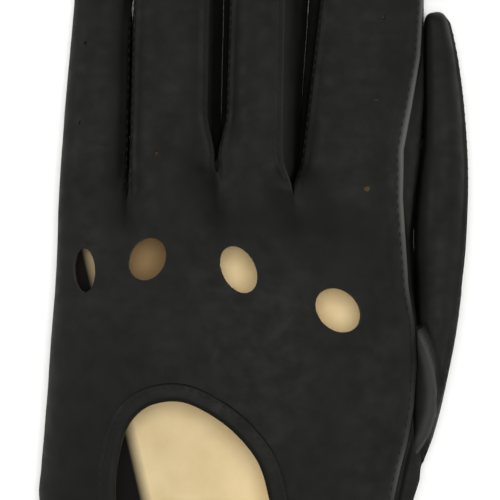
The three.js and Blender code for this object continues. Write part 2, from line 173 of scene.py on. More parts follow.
def hand_angle(x, y, top=True):
    """Section angle at which the hand slice at y passes x."""
    u, r, _, _ = hand_at(y)
    n = HAND_TOP_N if top else HAND_PALM_N
    k = np.clip((x - (u + r) / 2) / ((r - u) / 2), -1, 1)
    a = np.degrees(np.arccos(np.sign(k) * np.abs(k) ** (n / 2)))
    return a if top else 360 - a


def seam_rise(y):
    """Extra seam angle where the thumb lies close and the seam runs higher on the side."""
    return 24 * math.exp(-((y - 38) / 17) ** 2)


class Finger:
    """Centre line and section of a finger stall, fitted to its hinges and CAD boxes."""

    def __init__(self, name):
        self.name = name
        hinge = [pivot(f"{name}_{j}_bend") for j in ("base", "middle", "tip")]
        self.hinge, self.bends = hinge, [h[1] for h in hinge]
        half, tall, centre = [], [], []
        for h, seg in zip(hinge, SEGMENTS):
            nodes = [n for n in frame["nodes"] if n.startswith(f"{name}_{seg}_")]
            half.append(h[0] - box(*nodes)[0][0])
            top = box(f"{name}_{seg}_back")[1][2] - 0.15
            tall.append((top - h[2]) / (1 + AXIS_DROP))
            centre.append(top - tall[-1])
        fit = lambda values: np.polyfit(self.bends, values, 1)
        self.cx, self.half, self.tall, self.cz = map(fit, ([h[0] for h in hinge], half, tall, centre))
        self.tip = box(f"{name}_tip_back")[1][1]
        self.round = np.polyval(self.half, self.tip) * 1.1
        self.fork = {side: f"{name}_proximal_{side}_fourchette" in frame["nodes"] for side in SIDES}

    def shrink(self, y):
        return float(np.clip((self.tip - 4 - y) / FORK_TAPER, 0, 1))

    def back_seam(self, side, y):
        """Angle of the back wall's edge above the middle of the stall."""
        plain = ULNAR_SEAM if self.fork[side] else 0.0
        top = BACK_SEAM.get((self.name, side), FORK if side == "radial" else plain)
        if (self.name, side) == ("index", "radial"):
            top += seam_rise(y)
        return top * self.shrink(y) + (3.0 if self.fork[side] else 0.0)

    def palm_seam(self, side, y):
        """Angle of the palm wall's edge; below zero where a fourchette lies between the walls."""
        if self.fork[side]:
            return -FORK * self.shrink(y) - 3.0
        return self.back_seam(side, y)

    def fill(self, which, y):
        """The stall's correction at y: 0 for its centre, 1 for its half-width."""
        t = np.clip((y - 25) / 48, 0, 1.1) * (1 - 0.6 * smooth(78, 96, y))
        return FILL[self.name][which] * t

    def centre(self, y):
        return np.polyval(self.cx, y) + self.fill(0, y)

    def width(self, y):
        return np.polyval(self.half, y) + self.fill(1, y)

    def spare(self, side, y):
        """How far the lower half may swell sideways to lie beside the next stall."""
        web = neighbour(self.name, side)
        if web is None:
            return 0.0
        a, b = (fingers[n] for n in web)
        gap = (b.centre(y) - b.width(y)) - (a.centre(y) + a.width(y))
        near_tip = min(a.tip, b.tip)
        fade = smooth(CROTCH[web] - 1, CROTCH[web] + 3, y) * (1 - smooth(near_tip - 15, near_tip - 6, y))
        return max(0.0, gap / 2) * float(fade)

    def curve(self, angle, y):
        k = max(0.0, (y - (self.tip - self.round)) / self.round)
        swell = math.sqrt(max(0.0, 1 - k * k))
        c, s = np.cos(np.radians(angle)), np.sin(np.radians(angle))
        half, tall, mid = self.width(y), np.polyval(self.tall, y), np.polyval(self.cz, y)
        side = half * swell * power(c, FINGER_N)
        x = side.copy()
        slope = np.degrees(np.arcsin(np.clip(-s, -1, 1)))
        for name, sign in (("radial", 1), ("ulnar", -1)):
            spare = self.spare(name, y)
            if spare <= 0:
                continue
            # the two facing walls are fullest at different heights, so that they pass without touching
            full = 12 if sign > 0 else 31
            reach = spare + half * (1 - math.cos(math.radians(full)) ** (2 / FINGER_N))
            lean = smooth(full - 23, full, slope) * (1 - smooth(full + 4, full + 26, slope))
            x = x + np.where(c * sign > 1e-9, sign * reach * lean, 0)
        return self.centre(y) + x, mid + tall * swell * power(s, FINGER_N)


fingers = {name: Finger(name) for name in FINGERS}
SPLIT = 16.0                                        # rows below this belong to the hand skins
WEB_TOP = 35.2                                      # rows up to here are the same on every stall
EDGE = {}                                           # x of the line between neighbouring stalls
CROTCH = dict(zip(zip(FINGERS, FINGERS[1:]), (25.0, 31.0, 25.2)))
HOLD = {}                                           # where two neighbouring lips start and end parting
for (left, right), y in CROTCH.items():
    a, b = fingers[left], fingers[right]
    EDGE[left, right] = ((a.centre(y) + a.width(y)) + (b.centre(y) - b.width(y))) / 2
    HOLD[left, right] = (32.0, 46.0) if left == "ring" else (y, y + 8)


def neighbour(name, side):
    i = FINGERS.index(name) + (1 if side == "radial" else -1)
    if not 0 <= i < len(FINGERS):
        return None
    return (name, FINGERS[i]) if side == "radial" else (FINGERS[i], name)


def resample(x, z, at):
    """Points of a dense planar curve at the given arc lengths."""
    step = np.hypot(np.diff(x), np.diff(z))
    length = np.concatenate([[0], np.cumsum(step)])
    return np.interp(at, length, x), np.interp(at, length, z), length[-1]


SECTION = 240                                       # points of a dense section
SEAM_COLUMNS = np.array([0, 0.3, 0.7, 1.1, 1.5, 1.9, 2.4, 3.1])


def arc_columns(total, count):
    """Arc lengths of a strip's columns: close together at both edges, even between."""
    squeeze = min(1.0, total / 12.0)
    ends = SEAM_COLUMNS * squeeze
    mid = np.linspace(ends[-1], total - ends[-1], count + 2)[1:-1]
    return np.concatenate([ends, mid, (total - ends)[::-1]])


def raw_strip(f, part, y):
    """Dense section of one stall's back or palm wall at y, from the thumb side to the ulnar side."""
    top = part == "back"
    seam = f.back_seam if top else f.palm_seam
    ends = (seam("radial", y) + (0 if top else 360), 180 - seam("ulnar", y))
    fx, fz = f.curve(np.linspace(*ends, SECTION), y)
    web = [neighbour(f.name, side) for side in SIDES]
    reach = max(CROTCH[w] for w in web if w) + 7
    w = float(smooth(13, reach, y))
    if w >= 1:
        return fx, fz
    plain = RADIAL_SEAM + seam_rise(y) + (0 if top else 360)
    hx_right = hand_angle(EDGE[web[0]], y, top) if web[0] else plain
    hx_left = hand_angle(EDGE[web[1]], y, top) if web[1] else 180.0
    hx, hz = hand_curve(np.linspace(hx_right, hx_left, SECTION), y)
    s = np.linspace(0, 1, SECTION)

    def even(x, z):
        total = resample(x, z, [0])[2]
        return np.array(resample(x, z, s * total)[:2])

    blend = even(hx, hz) * (1 - w) + even(fx, fz) * w
    return blend[0], blend[1]


strips = {}                                         # (finger, part) -> rows x columns x 3
rows = {}
COUNT = {"pinky": 20, "ring": 22, "middle": 20, "index": 26}     # columns between the close ones


def split_levels(f):
    """Where a stall is divided between its first, middle and end lengths."""
    b = f.bends
    first = (b[0] + b[1]) / 2 - (0.5 if f.name == "pinky" else 0.0)
    if first < WEB_TOP:
        first = SPLIT + 1.6 * round((first - SPLIT) / 1.6)
    return [first, (b[1] + b[2]) / 2 + 0.5]


def row_levels(f):
    """Row positions: even along the hand and stall, crowded into the rounded fingertip."""
    shared = int(round((WEB_TOP - SPLIT) / ROW_STEP))
    out = list(np.linspace(SPLIT, WEB_TOP, shared, endpoint=False))
    marks = [WEB_TOP] + [v for v in split_levels(f) if v > WEB_TOP] + [f.tip - f.round]
    for a, b in zip(marks, marks[1:]):
        out.extend(np.linspace(a, b, max(2, int(round((b - a) / ROW_STEP))), endpoint=False))
    bow = np.linspace(0, math.pi / 2, 18)
    out.extend(f.tip - f.round + f.round * np.sin(bow) * 0.9995)
    return np.array(out)


hand_rows = np.linspace(-106, SPLIT, int(round((SPLIT + 106) / ROW_STEP)) + 1)
for name, f in fingers.items():
    tail = row_levels(f)
    rows[name] = np.concatenate([hand_rows[:-1], tail[tail >= SPLIT - 1e-6]])
    for part in PARTS:
        strips[name, part] = [raw_strip(f, part, y) for y in rows[name]]

# Neighbouring strips share one web line up to the crotch, then part as a narrow slit. The palm stays
# joined a little further out: its slit begins PALM_SLIT past the crotch, its hold ends PALM_FREE past it
PALM_SLIT, PALM_FREE = 4, 11
SLIT = {"back": 0.45, "palm": 0.08}
for name, f in fingers.items():
    for part in PARTS:
        grid = np.zeros((len(rows[name]), COUNT[name] + 2 * len(SEAM_COLUMNS), 3))
        for i, y in enumerate(rows[name]):
            x, z = (c.copy() for c in strips[name, part][i])
            for side, end in (("radial", 0), ("ulnar", -1)):
                web = neighbour(name, side)
                if web is None:
                    continue
                part_at, (begin, free) = CROTCH[web], HOLD[web]
                if part == "palm":
                    begin, free = max(begin, part_at + PALM_SLIT), max(free, part_at + PALM_FREE)
                    part_at += PALM_SLIT
                hold = 1 - float(smooth(begin, free, y))
                if hold <= 0:
                    continue
                other = fingers[web[1] if side == "radial" else web[0]]
                ox, oz = raw_strip(other, part, y)
                there = -1 if side == "radial" else 0
                target = np.array([(x[end] + ox[there]) / 2, (z[end] + oz[there]) / 2])
                slit = SLIT[part] * float(smooth(part_at - 0.5, part_at + 1.2, y))
                target[0] -= slit * (1 if side == "radial" else -1)
                s = np.linspace(0, 1, len(x))
                s = s if end == 0 else 1 - s
                g = (1 - smooth(0, 0.4, s)) * hold
                x += (target[0] - x[end]) * g
                z += (target[1] - z[end]) * g
            s = np.linspace(0, 1, len(x))
            if name == "pinky":
                x += np.interp(y, *ULNAR_EASE.T) * smooth(0.4, 0.95, s)
            if name == "index":
                off = np.interp(y, *SEAM_LINE.T) + SHIFT - x[0]
                off *= float(smooth(-82, -52, y)) * (1 - float(smooth(74, 90, y)))
                x += off * (1 - smooth(0, 0.35 if part == "back" else 0.12, s))
                if part == "palm":
                    swell = smooth(0, 0.045, s) * (1 - smooth(0.12, 0.42, s))
                    swell = swell * float(smooth(-84, -74, y)) * (1 - float(smooth(74, 90, y)))
                    for _ in range(3):
                        x += max(0.0, np.interp(y, *BODY_LINE.T) + SHIFT - x.max()) * swell
            total = resample(x, z, [0])[2]
            at = arc_columns(total, COUNT[name])
            cx, cz, _ = resample(x, z, at)
            grid[i, :, 0], grid[i, :, 1], grid[i, :, 2] = cx, y, cz
        strips[name, part] = grid


# ---------------------------------------------------------------- relief: lapped edges, ridges, creases
rng = np.random.default_rng(7)
WAVES = [(rng.normal(size=3) * k, rng.uniform(0, 6.28), a)
         for k, a in [(0.05, 0.22), (0.06, 0.2), (0.09, 0.14), (0.11, 0.1), (0.17, 0.06), (0.2, 0.05)] * 2]


def unevenness(p):
    """Soft random waves of the leather, in mm."""
    total = np.zeros(p.shape[:-1])
    for k, phase, a in WAVES:
        total += a * np.sin(p @ k + phase)
    return total * 0.55


def beside(p, a, b):
    """How far along the plan segment from a to b each point lies, and its offset from the segment."""
    d = b - a
    t = np.clip(((p[..., :2] - a) @ d) / (d @ d), 0, 1)
    return t, p[..., :2] - (a + t[..., None] * d)


# Soft ridges and, with a negative height, furrows along plan lines: from, to, height, width
RIDGES = (
    ((-17, 4), (-7, -30), 0.9, 3.6),                # tendon behind the ring knuckle
    ((-21, 30), (-12, 14), 0.7, 4.0),
    ((-14, 35), (-12, 30), -0.8, 1.7),              # dimple at the ring and middle web
    ((-9.2, 32), (-8.5, 16), -0.9, 2.2),            # furrow running back from the web
    ((-31.5, 26), (-30.5, 14), -0.5, 1.6),
    ((10.3, 25), (10.6, 14), -0.5, 1.8),
    ((33, -20), (24, -62), -0.6, 5.0),              # hollow beside the thumb root
    ((-45, -28), (-43, -90), -0.45, 2.2),           # soft fold along the little-finger side
)


def hand_relief(p):
    h = unevenness(p)
    for start, end, height, width in RIDGES:
        t, off = beside(p, np.array(start, float), np.array(end, float))
        gone = np.linalg.norm(off, axis=-1)
        h = h + height * bell(gone, width, 0.5) * np.sin(np.pi * np.clip(t, 0.06, 0.94)) ** 0.5
    return h


def from_line(p, path):
    """Signed plan distance from a path, positive on the left of its direction."""
    path = path + (SHIFT, 0)
    gone = np.full(p.shape[:-1], 1e9)
    side = np.zeros(p.shape[:-1])
    for a, b in zip(path, path[1:]):
        _, off = beside(p, a, b)
        far = np.linalg.norm(off, axis=-1)
        turn = (b - a)[0] * off[..., 1] - (b - a)[1] * off[..., 0]
        side = np.where(far < gone, np.sign(turn), side)
        gone = np.minimum(gone, far)
    return gone * side


def sewn_edge(p, path, height):
    """A sewn edge along a plan path: a narrow rounded lip with a sharp drop on its outer side."""
    signed = from_line(p, path)
    lip_shape = np.where(signed <= 0, bell(np.maximum(-signed, 0), 2.2), bell(signed, 0.35))
    return height * lip_shape - 0.7 * height * bell(signed - 1.1, 0.7)


# Sewn edge of the thumb piece where it crosses its root, seen from the back
THUMB_QUIRK = np.array([
    (41.5, -9), (43.4, -13.5), (44.8, -18.5), (45.5, -24), (45.1, -30), (43.4, -35.5), (40, -42),
])


def lip(distance, height, reach=1.7):
    """Raised lapped edge: full height at the edge, dropping back behind the stitch line."""
    edge = 1 - smooth(reach, reach + 0.9, distance)
    roll = 1 - 0.55 * bell(distance, 0.22)
    groove = 0.16 * bell(distance - 0.68 * reach, 0.28)
    return height * edge * roll - groove * edge


def edge_distances(grid):
    """Distance of each point from its row's first and last points, along the row."""
    step = np.linalg.norm(np.diff(grid, axis=1), axis=-1)
    run = np.concatenate([np.zeros((len(grid), 1)), np.cumsum(step, axis=1)], axis=1)
    return run, run[:, -1:] - run


def side_distances(grid, part):
    """Distance of each point from its wall's thumb-side edge and from its little-finger side."""
    near_first, near_last = edge_distances(grid)
    return (near_first, near_last) if part == "back" else (near_last, near_first)


def off_floor(grid):
    """The glove rests on the floor and is never under it."""
    grid[..., 2] = np.maximum(grid[..., 2], 0.0)
    return grid


WELD = 0.002                                        # points nearer than about this are one point


def merged_normals(grids):
    """Vertex normals of all the grids together, smooth wherever their points coincide."""
    points = np.concatenate([g.reshape(-1, 3) for g in grids])
    keys = np.round(points / WELD).astype(np.int64)
    _, first = np.unique(keys, axis=0, return_inverse=True)
    first = first.ravel()
    total = np.zeros((first.max() + 1, 3))
    start = 0
    for g in grids:
        n, m = g.shape[:2]
        index = start + np.arange(n * m).reshape(n, m)
        quads = np.stack([index[:-1, :-1], index[1:, :-1], index[1:, 1:], index[:-1, 1:]], -1).reshape(-1, 4)
        p = points[quads]
        normal = np.cross(p[:, 2] - p[:, 0], p[:, 3] - p[:, 1])
        for corner in range(4):
            np.add.at(total, first[quads[:, corner]], normal)
        start += n * m
    out = unit(total)[first]
    result, start = [], 0
    for g in grids:
        size = g.shape[0] * g.shape[1]
        result.append(out[start:start + size].reshape(g.shape))
        start += size
    return result


def outward_normals(grids):
    """Merged normals of the named grids; those of the back point up and those of the palm down."""
    out = dict(zip(grids, merged_normals(list(grids.values()))))
    for key, n in out.items():
        upward = n[len(n) // 3, n.shape[1] // 2][2] > 0
        if upward != ("back" in key):
            out[key] = -n
    return out


for key, grid in strips.items():                    # palm strips run the other way round the hand
    if key[1] == "palm":
        strips[key] = grid[:, ::-1]
base_normals = outward_normals(strips)

LIP_HEIGHT = {"back": 0.6, "palm": 0.3}
WEB_REACH, SEAM_REACH = 1.7, 2.8                    # lapped edges between stalls and on the thumb side
JOINT_CREASES, THUMB_CREASES = (-2.2, 0.3, 2.6), (-2.0, 0.5, 3.0)
shaped = {}
for key, grid in strips.items():
    name, part = key
    f = fingers[name]
    from_radial, from_ulnar = side_distances(grid, part)
    y = rows[name][:, None]
    tip_fade = 1 - smooth(f.tip - f.round * 0.8, f.tip - 1, y)
    h = hand_relief(grid) * (1 - 0.6 * smooth(30, 44, y)) * tip_fade * (1 if part == "back" else 0.6)
    for side, gone in zip(SIDES, (from_radial, from_ulnar)):
        web = neighbour(name, side)
        if web:
            here = smooth(CROTCH[web] - 1, CROTCH[web] + 3, y)
        else:
            here = np.ones_like(y) * (1.15 if side == "radial" and part == "back" else 0.0)
        edge = lip(gone, LIP_HEIGHT[part], WEB_REACH if web else SEAM_REACH)
        h = h + edge * here * (0.35 + 0.65 * tip_fade)
    if name == "index" and part == "palm":          # groove beside the back's sewn edge
        deep = 0.35 + 0.6 * (1 - smooth(2, 16, y))
        h = h - deep * bell(from_radial - 1.0, 0.85) * tip_fade
    depth = 0.28 if part == "palm" else 0.1
    for bend in f.bends[1:]:
        for offset in JOINT_CREASES:
            h = h - depth * bell(y - bend - offset, 0.7, 0.5) * smooth(0.5, 4, from_radial) \
                * smooth(0.5, 4, from_ulnar)
    shaped[key] = off_floor(grid + base_normals[key] * h[..., None])
final_normals = outward_normals(shaped)


# ---------------------------------------------------------------- materials
class Nodes:
    """A new material and its node tree, with the rest position of each point."""

    def __init__(self, name, **shader):
        self.material = bpy.data.materials.new(name)
        self.material.use_nodes = True
        self.tree = self.material.node_tree
        self.shader = next(n for n in self.tree.nodes if n.type == "BSDF_PRINCIPLED")
        self.place = self.add("Attribute", {"attribute_name": "rest_place"}).outputs["Vector"]
        self.put(self.shader, shader)

    def put(self, node, inputs):
        """Sets each named or numbered input of a node, or links it when given another node's output."""
        for key, value in inputs.items():
            socket = node.inputs[key.replace("_", " ") if isinstance(key, str) else key]
            if isinstance(value, bpy.types.NodeSocket):
                self.tree.links.new(value, socket)
            else:
                socket.default_value = value

    def add(self, kind, settings={}, *by_number, **by_name):
        node = self.tree.nodes.new("ShaderNode" + kind)
        for key, value in settings.items():
            setattr(node, key, value)
        self.put(node, dict(enumerate(by_number)) | by_name)
        return node

    def noise(self, scale, detail):
        return self.add("TexNoise", Vector=self.place, Scale=scale, Detail=detail).outputs["Fac"]

    def ramp(self, source, a, b, low, high):
        """A map from a value range to two colours."""
        node = self.add("ValToRGB", Fac=source)
        for element, position, colour in zip(node.color_ramp.elements, (a, b), (low, high)):
            element.position, element.color = position, (*colour, 1)
        return node.outputs["Color"]

    def mix(self, factor, a, b):
        return self.add("Mix", {"data_type": "RGBA"}, Factor=factor, A=a, B=b).outputs["Result"]

    def raised(self, height, strength, distance, **below):
        """A fine relief in metres, over the normal of the relief below it."""
        bump = self.add("Bump", Height=height, Strength=strength, Distance=distance, **below)
        return bump.outputs["Normal"]


EDGE_HIGHLIGHT = (0.130, 0.128, 0.120, 1)                     # painted highlight: lighter leather colour where edges would catch the light
MARGIN_BLACK = (0.006, 0.0055, 0.0045, 1)                    # near-black flesh side along the little-finger side
# painted shade: darker tan on the flesh side under the ring knuckle hole
KNUCKLE_SHADE, KNUCKLE_SHADE_AT = (0.27, 0.18, 0.085, 1), (-0.0277, 0.0087, 0)


def leather_material(name, low, high, rough, grain):
    t = Nodes(name, Specular_IOR_Level=0.11, Sheen_Weight=0.0, Sheen_Roughness=0.4)
    cells = t.add("TexVoronoi", {"feature": "DISTANCE_TO_EDGE"}, Vector=t.place, Scale=1500.0)
    folds = t.noise(260.0, 5.0)
    # painted highlight: the per-point edge attribute mixes the leather colour toward a light grey
    highlight_paint = t.add("Attribute", {"attribute_name": "painted_edge_highlight"})
    colour = t.mix(highlight_paint.outputs["Fac"], t.ramp(t.noise(90.0, 4.0), 0.3, 0.7, low, high), EDGE_HIGHLIGHT)
    pores = t.raised(cells.outputs["Distance"], grain, 0.00006)
    hair = t.raised(t.noise(3200.0, 3.0), grain * 0.5, 0.00004, Normal=pores)
    t.put(t.shader, {
        "Base Color": colour,
        "Roughness": t.ramp(folds, 0.35, 0.65, (rough - 0.06,) * 3, (rough + 0.08,) * 3),
        "Normal": t.raised(folds, 0.12, 0.0003, Normal=hair),
    })
    return t.material


def dark_margin_and_shade(t, pale):
    """The flesh side's colour, near-black along the little-finger side, with painted shade darkening it round the
    ring knuckle.
    """
    split = t.add("SeparateXYZ", Vector=t.place)
    border = t.add("Math", {"operation": "MULTIPLY_ADD"}, split.outputs["Y"], -0.232, -0.0408)
    least = t.add("Math", {"operation": "MINIMUM"}, border.outputs["Value"], -0.0285)
    inside = t.add("Math", {"operation": "SUBTRACT"}, split.outputs["X"], least.outputs["Value"])
    edge = t.add("MapRange", Value=inside.outputs["Value"], From_Min=-0.0016, From_Max=0.0016)
    flat = t.add("VectorMath", {"operation": "MULTIPLY"}, t.place, (1, 1, 0))
    gone = t.add("VectorMath", {"operation": "DISTANCE"}, flat.outputs["Vector"], KNUCKLE_SHADE_AT)
    fade = t.add("MapRange", Value=gone.outputs["Value"], From_Min=0.006, From_Max=0.012)
    return t.mix(edge.outputs["Result"], MARGIN_BLACK, t.mix(fade.outputs["Result"], KNUCKLE_SHADE, pale))


def fibre_material(name, low, high, scale, rough, bump, sheen=0.0, margin=False):
    t = Nodes(name, Roughness=rough, Sheen_Weight=sheen, Specular_IOR_Level=0.15)
    colour = t.ramp(t.noise(120.0, 3.0), 0.3, 0.7, low, high)
    t.put(t.shader, {
        "Base Color": dark_margin_and_shade(t, colour) if margin else colour,
        "Normal": t.raised(t.noise(scale, 6.0), bump, 0.0001),
    })
    return t.material


def metal_material(name, tint, rough):
    t = Nodes(name, Metallic=1.0)
    rub = t.noise(900.0, 4.0)
    t.put(t.shader, {
        "Base Color": t.ramp(rub, 0.35, 0.7, [c * 0.8 for c in tint], tint),
        "Roughness": t.ramp(rub, 0.3, 0.7, (rough,) * 3, (rough + 0.12,) * 3),
    })
    return t.material


def floor_material(name, tint, rough):
    t = Nodes(name, Roughness=rough)
    speck = t.add("TexNoise", Scale=40.0, Detail=3.0).outputs["Fac"]
    t.put(t.shader, {"Base Color": t.ramp(speck, 0.3, 0.7, [c * 0.99 for c in tint], tint)})
    return t.material


NAPPA = leather_material("black_nappa", (0.0036, 0.0040, 0.0030), (0.0060, 0.0065, 0.0050), 0.61, 0.35)
TRIM = leather_material("binding_leather", (0.0034, 0.0038, 0.0030), (0.0056, 0.0060, 0.0050), 0.58, 0.3)
SUEDE = fibre_material("undyed_suede", (0.78, 0.615, 0.335), (0.86, 0.695, 0.41), 2600.0, 0.95, 0.5, 0.1,
                       margin=True)
CUT = fibre_material("cut_leather_edge", (0.018, 0.017, 0.015), (0.035, 0.031, 0.026), 2400.0, 0.85, 0.4)
THREAD = fibre_material("black_thread", (0.0045, 0.0048, 0.0042), (0.009, 0.0092, 0.0084), 5200.0, 0.7, 0.6)
METAL = metal_material("dark_nickel", (0.42, 0.41, 0.39), 0.26)
# Slot names and the materials of their pieces, in the order of the material numbers
SLOTS = {
    "nappa_leather": (NAPPA, SUEDE, CUT, THREAD),
    "trim_leather": (TRIM, SUEDE, CUT, THREAD),
    "snap_metal": (METAL,),
}


# ---------------------------------------------------------------- mesh building
def quads_of(n, m, start=0):
    index = start + np.arange(n * m).reshape(n, m)
    return np.stack([index[:-1, :-1], index[:-1, 1:], index[1:, 1:], index[1:, :-1]], -1).reshape(-1, 4)


def turned_with(quads, points, normals):
    """The faces, reversed if they are wound against the normals."""
    p = points[quads]
    face = np.cross(p[:, 1] - p[:, 0], p[:, 3] - p[:, 0])
    return quads[:, ::-1] if np.median(np.einsum("ij,ij->i", face, normals[quads[:, 0]])) < 0 else quads


def seam_highlight(gone, y):
    """Painted highlight beside the thumb-side seam: strong along the index finger, faint over the thumb root."""
    return bell(gone - 0.7, 1.05) * (0.12 + 0.48 * smooth(-12, 8, y) + 0.18 * bell(y + 44, 7))


class Piece:
    """Collects vertices, faces, material numbers and vertex normals, then makes one object."""

    def __init__(self):
        self.points, self.normals, self.faces, self.kinds, self.highlight_paint = [], [], [], [], []
        self.count = 0

    def add(self, points, normals, faces, kind, highlight_paint=None):
        points = np.asarray(points, float).reshape(-1, 3)
        self.points.append(points)
        self.normals.append(np.asarray(normals, float).reshape(-1, 3))
        self.highlight_paint.append(np.zeros(len(points)) if highlight_paint is None else np.asarray(highlight_paint, float).ravel())
        self.faces.extend((np.asarray(face) + self.count).tolist() for face in faces)
        self.kinds.extend(np.broadcast_to(kind, len(faces)).tolist())
        self.count += len(points)

    def finish(self, name, slot_name, nodes, body=None, span=None):
        """Makes the object, ties it to its CAD body or, given a span, bakes its transform in place, and hides the
        CAD parts it stands for.
        """
        points, normals = np.concatenate(self.points), np.concatenate(self.normals)
        mesh = bpy.data.meshes.new(name)
        mesh.from_pydata((points * MM).tolist(), [], self.faces)
        mesh.polygons.foreach_set("material_index", np.array(self.kinds, np.int32))
        mesh.polygons.foreach_set("use_smooth", np.ones(len(self.faces), bool))
        place = mesh.attributes.new("rest_place", "FLOAT_VECTOR", "POINT")
        place.data.foreach_set("vector", (points * MM).astype(np.float32).ravel())
        # painted highlight strength per point, read by the leather material's colour
        highlight_paint = mesh.attributes.new("painted_edge_highlight", "FLOAT", "POINT")
        highlight_paint.data.foreach_set("value", np.concatenate(self.highlight_paint).astype(np.float32))
        mesh.update()
        mesh.normals_split_custom_set_from_vertices(unit(normals).tolist())
        for material in SLOTS[slot_name]:
            mesh.materials.append(material)
        obj = bpy.data.objects.new(name, mesh)
        bpy.context.scene.collection.objects.link(obj)
        if span:
            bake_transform(obj)
        else:
            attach(obj, body)
        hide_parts(*nodes)


def add_skin(piece, points, normals, quads, thick=LEATHER, highlight_paint=None, skip_rim=None, inner=FLESH):
    """Leather: the outer face, the flesh side a thickness below, and cut edges between them."""
    used = np.unique(quads)
    lookup = -np.ones(len(points), np.int64)
    lookup[used] = np.arange(len(used))
    p, n = points[used], normals[used]
    q = turned_with(lookup[quads], p, n)
    piece.add(p, n, q, FACE, None if highlight_paint is None else highlight_paint[used])
    under = p - n * thick
    piece.add(under, -n, q[:, ::-1], inner)
    edges = np.concatenate([q[:, [0, 1]], q[:, [1, 2]], q[:, [2, 3]], q[:, [3, 0]]])
    _, where, times = np.unique(np.sort(edges, axis=1), axis=0, return_index=True, return_counts=True)
    rim = edges[where[times == 1]]
    rim = rim[rim[:, 0] != rim[:, 1]]
    if skip_rim is not None:
        rim = rim[~skip_rim(p[rim[:, 0]], p[rim[:, 1]])]
    a, b = rim[:, 0], rim[:, 1]
    side = unit(np.cross(p[b] - p[a], n[a] + n[b]))
    total = np.zeros_like(p)
    np.add.at(total, a, side)
    np.add.at(total, b, side)
    ids = np.unique(rim)
    count = len(ids)
    back = -np.ones(len(p), np.int64)
    back[ids] = np.arange(count)
    top, low, out = p[ids], under[ids], unit(total)[ids]
    mid = (top + low) / 2 + out * (0.10 * thick)
    strip = np.stack([back[a], back[b], back[b] + count, back[a] + count], 1)[:, ::-1]
    strip = np.concatenate([strip, strip + count])
    rim_normals = np.concatenate([unit(out + n[ids] * 0.6), out, unit(out - n[ids] * 0.6)])
    piece.add(np.concatenate([top, mid, low]), rim_normals, strip, CUT_EDGE)


def add_tube(piece, ring_points, ring_normals, kind):
    """A closed skin from rings: ring_points is rings x sides x 3."""
    n, m = ring_points.shape[:2]
    index = np.arange(n * m).reshape(n, m)
    nxt = np.roll(index, -1, axis=1)
    q = np.stack([index[:-1], nxt[:-1], nxt[1:], index[1:]], -1).reshape(-1, 4)
    q = turned_with(q, ring_points.reshape(-1, 3), ring_normals.reshape(-1, 3))
    piece.add(ring_points, ring_normals, q, kind)


PITCH, STITCH_LENGTH, STITCH_RADIUS, FIRST_STITCH = 2.3, 1.65, 0.19, 0.6
# share of a stitch's length, share of its radius, height above the leather
STITCH_SHAPE = (
    (0.0, 0.25, -0.24), (0.18, 0.8, -0.04), (0.5, 1.0, 0.05), (0.82, 0.8, -0.04), (1.0, 0.25, -0.24),
)


def add_stitches(piece, path, normals, lift=0.04):
    """Short raised thread lengths along a path that lies on the leather."""
    if len(path) < 2:
        return
    run = run_length(path)
    ring = np.linspace(0, 2 * math.pi, 6, endpoint=False)
    for s in np.arange(FIRST_STITCH, run[-1] - STITCH_LENGTH, PITCH):
        rings, ring_n = [], []
        for t, fat, drop in STITCH_SHAPE:
            at = s + t * STITCH_LENGTH
            c = follow(at, run, path)
            n = unit(follow(at, run, normals))
            side = unit(np.cross(unit(follow(at + 0.2, run, path) - c + 1e-9), n))
            spokes = np.cos(ring)[:, None] * side + np.sin(ring)[:, None] * n
            rings.append(c + n * (lift + drop) + spokes * STITCH_RADIUS * fat)
            ring_n.append(spokes)
        add_tube(piece, np.array(rings), np.array(ring_n), STITCH)


def along_rows(*levels, near=0.02):
    """Test for rim edges on the given rows, where the next piece carries on and no cut edge shows."""
    def test(a, b):
        on_row = np.any([np.abs(a[:, 1] - y) < near for y in levels], axis=0)
        return (np.abs(a[:, 1] - b[:, 1]) < 0.02) & on_row
    return test


# ---------------------------------------------------------------- hand skins
def outline_distance(points, outline):
    """Nearest point of a closed plan outline, and whether each point is inside it."""
    a, b = outline, np.roll(outline, -1, axis=0)
    d = b - a
    t = np.clip(np.einsum("pij,ij->pi", points[:, None] - a, d) / np.einsum("ij,ij->i", d, d), 0, 1)
    near = a + t[..., None] * d
    gap = np.linalg.norm(points[:, None] - near, axis=-1)
    best = gap.argmin(axis=1)
    pick = np.arange(len(points))
    x, y = points[:, 0:1], points[:, 1:2]
    crossing_x = (b[:, 0] - a[:, 0]) * (y - a[:, 1]) / (b[:, 1] - a[:, 1] + 1e-12) + a[:, 0]
    crosses = ((a[:, 1] > y) != (b[:, 1] > y)) & (x < crossing_x)
    return near[pick, best], crosses.sum(axis=1) % 2 == 1


openings = {o["name"]: np.array(o["box_m"]) / MM for o in frame["record"]["physics"]["openings"]}
# half-width, half-length and lean of each knuckle hole in plan, in mm and degrees
HOLE_SHAPE = {
    "pinky": (2.8, 5.6, 3), "ring": (4.5, 5.6, -28), "middle": (4.2, 6.3, 27), "index": (4.95, 6.3, 48),
}


class Hole:
    """An oval cut through the back, as plan coordinates where its rim is the unit circle."""

    def __init__(self, x, y, across, along, lean):
        self.at = np.array([x, y])
        t = math.radians(lean)
        self.turn = np.array([[math.cos(t), math.sin(t)], [-math.sin(t), math.cos(t)]])
        self.size = np.array([across, along])

    def local(self, points):
        return (points[:, :2] - self.at) @ self.turn.T / self.size

    def plan(self, local):
        return local * self.size @ self.turn + self.at


holes = []
for name in FINGERS:
    low, high = openings[f"{name}_knuckle_hole"]
    x, y = (low[:2] + high[:2]) / 2
    holes.append(Hole(x, y, *HOLE_SHAPE[name]))


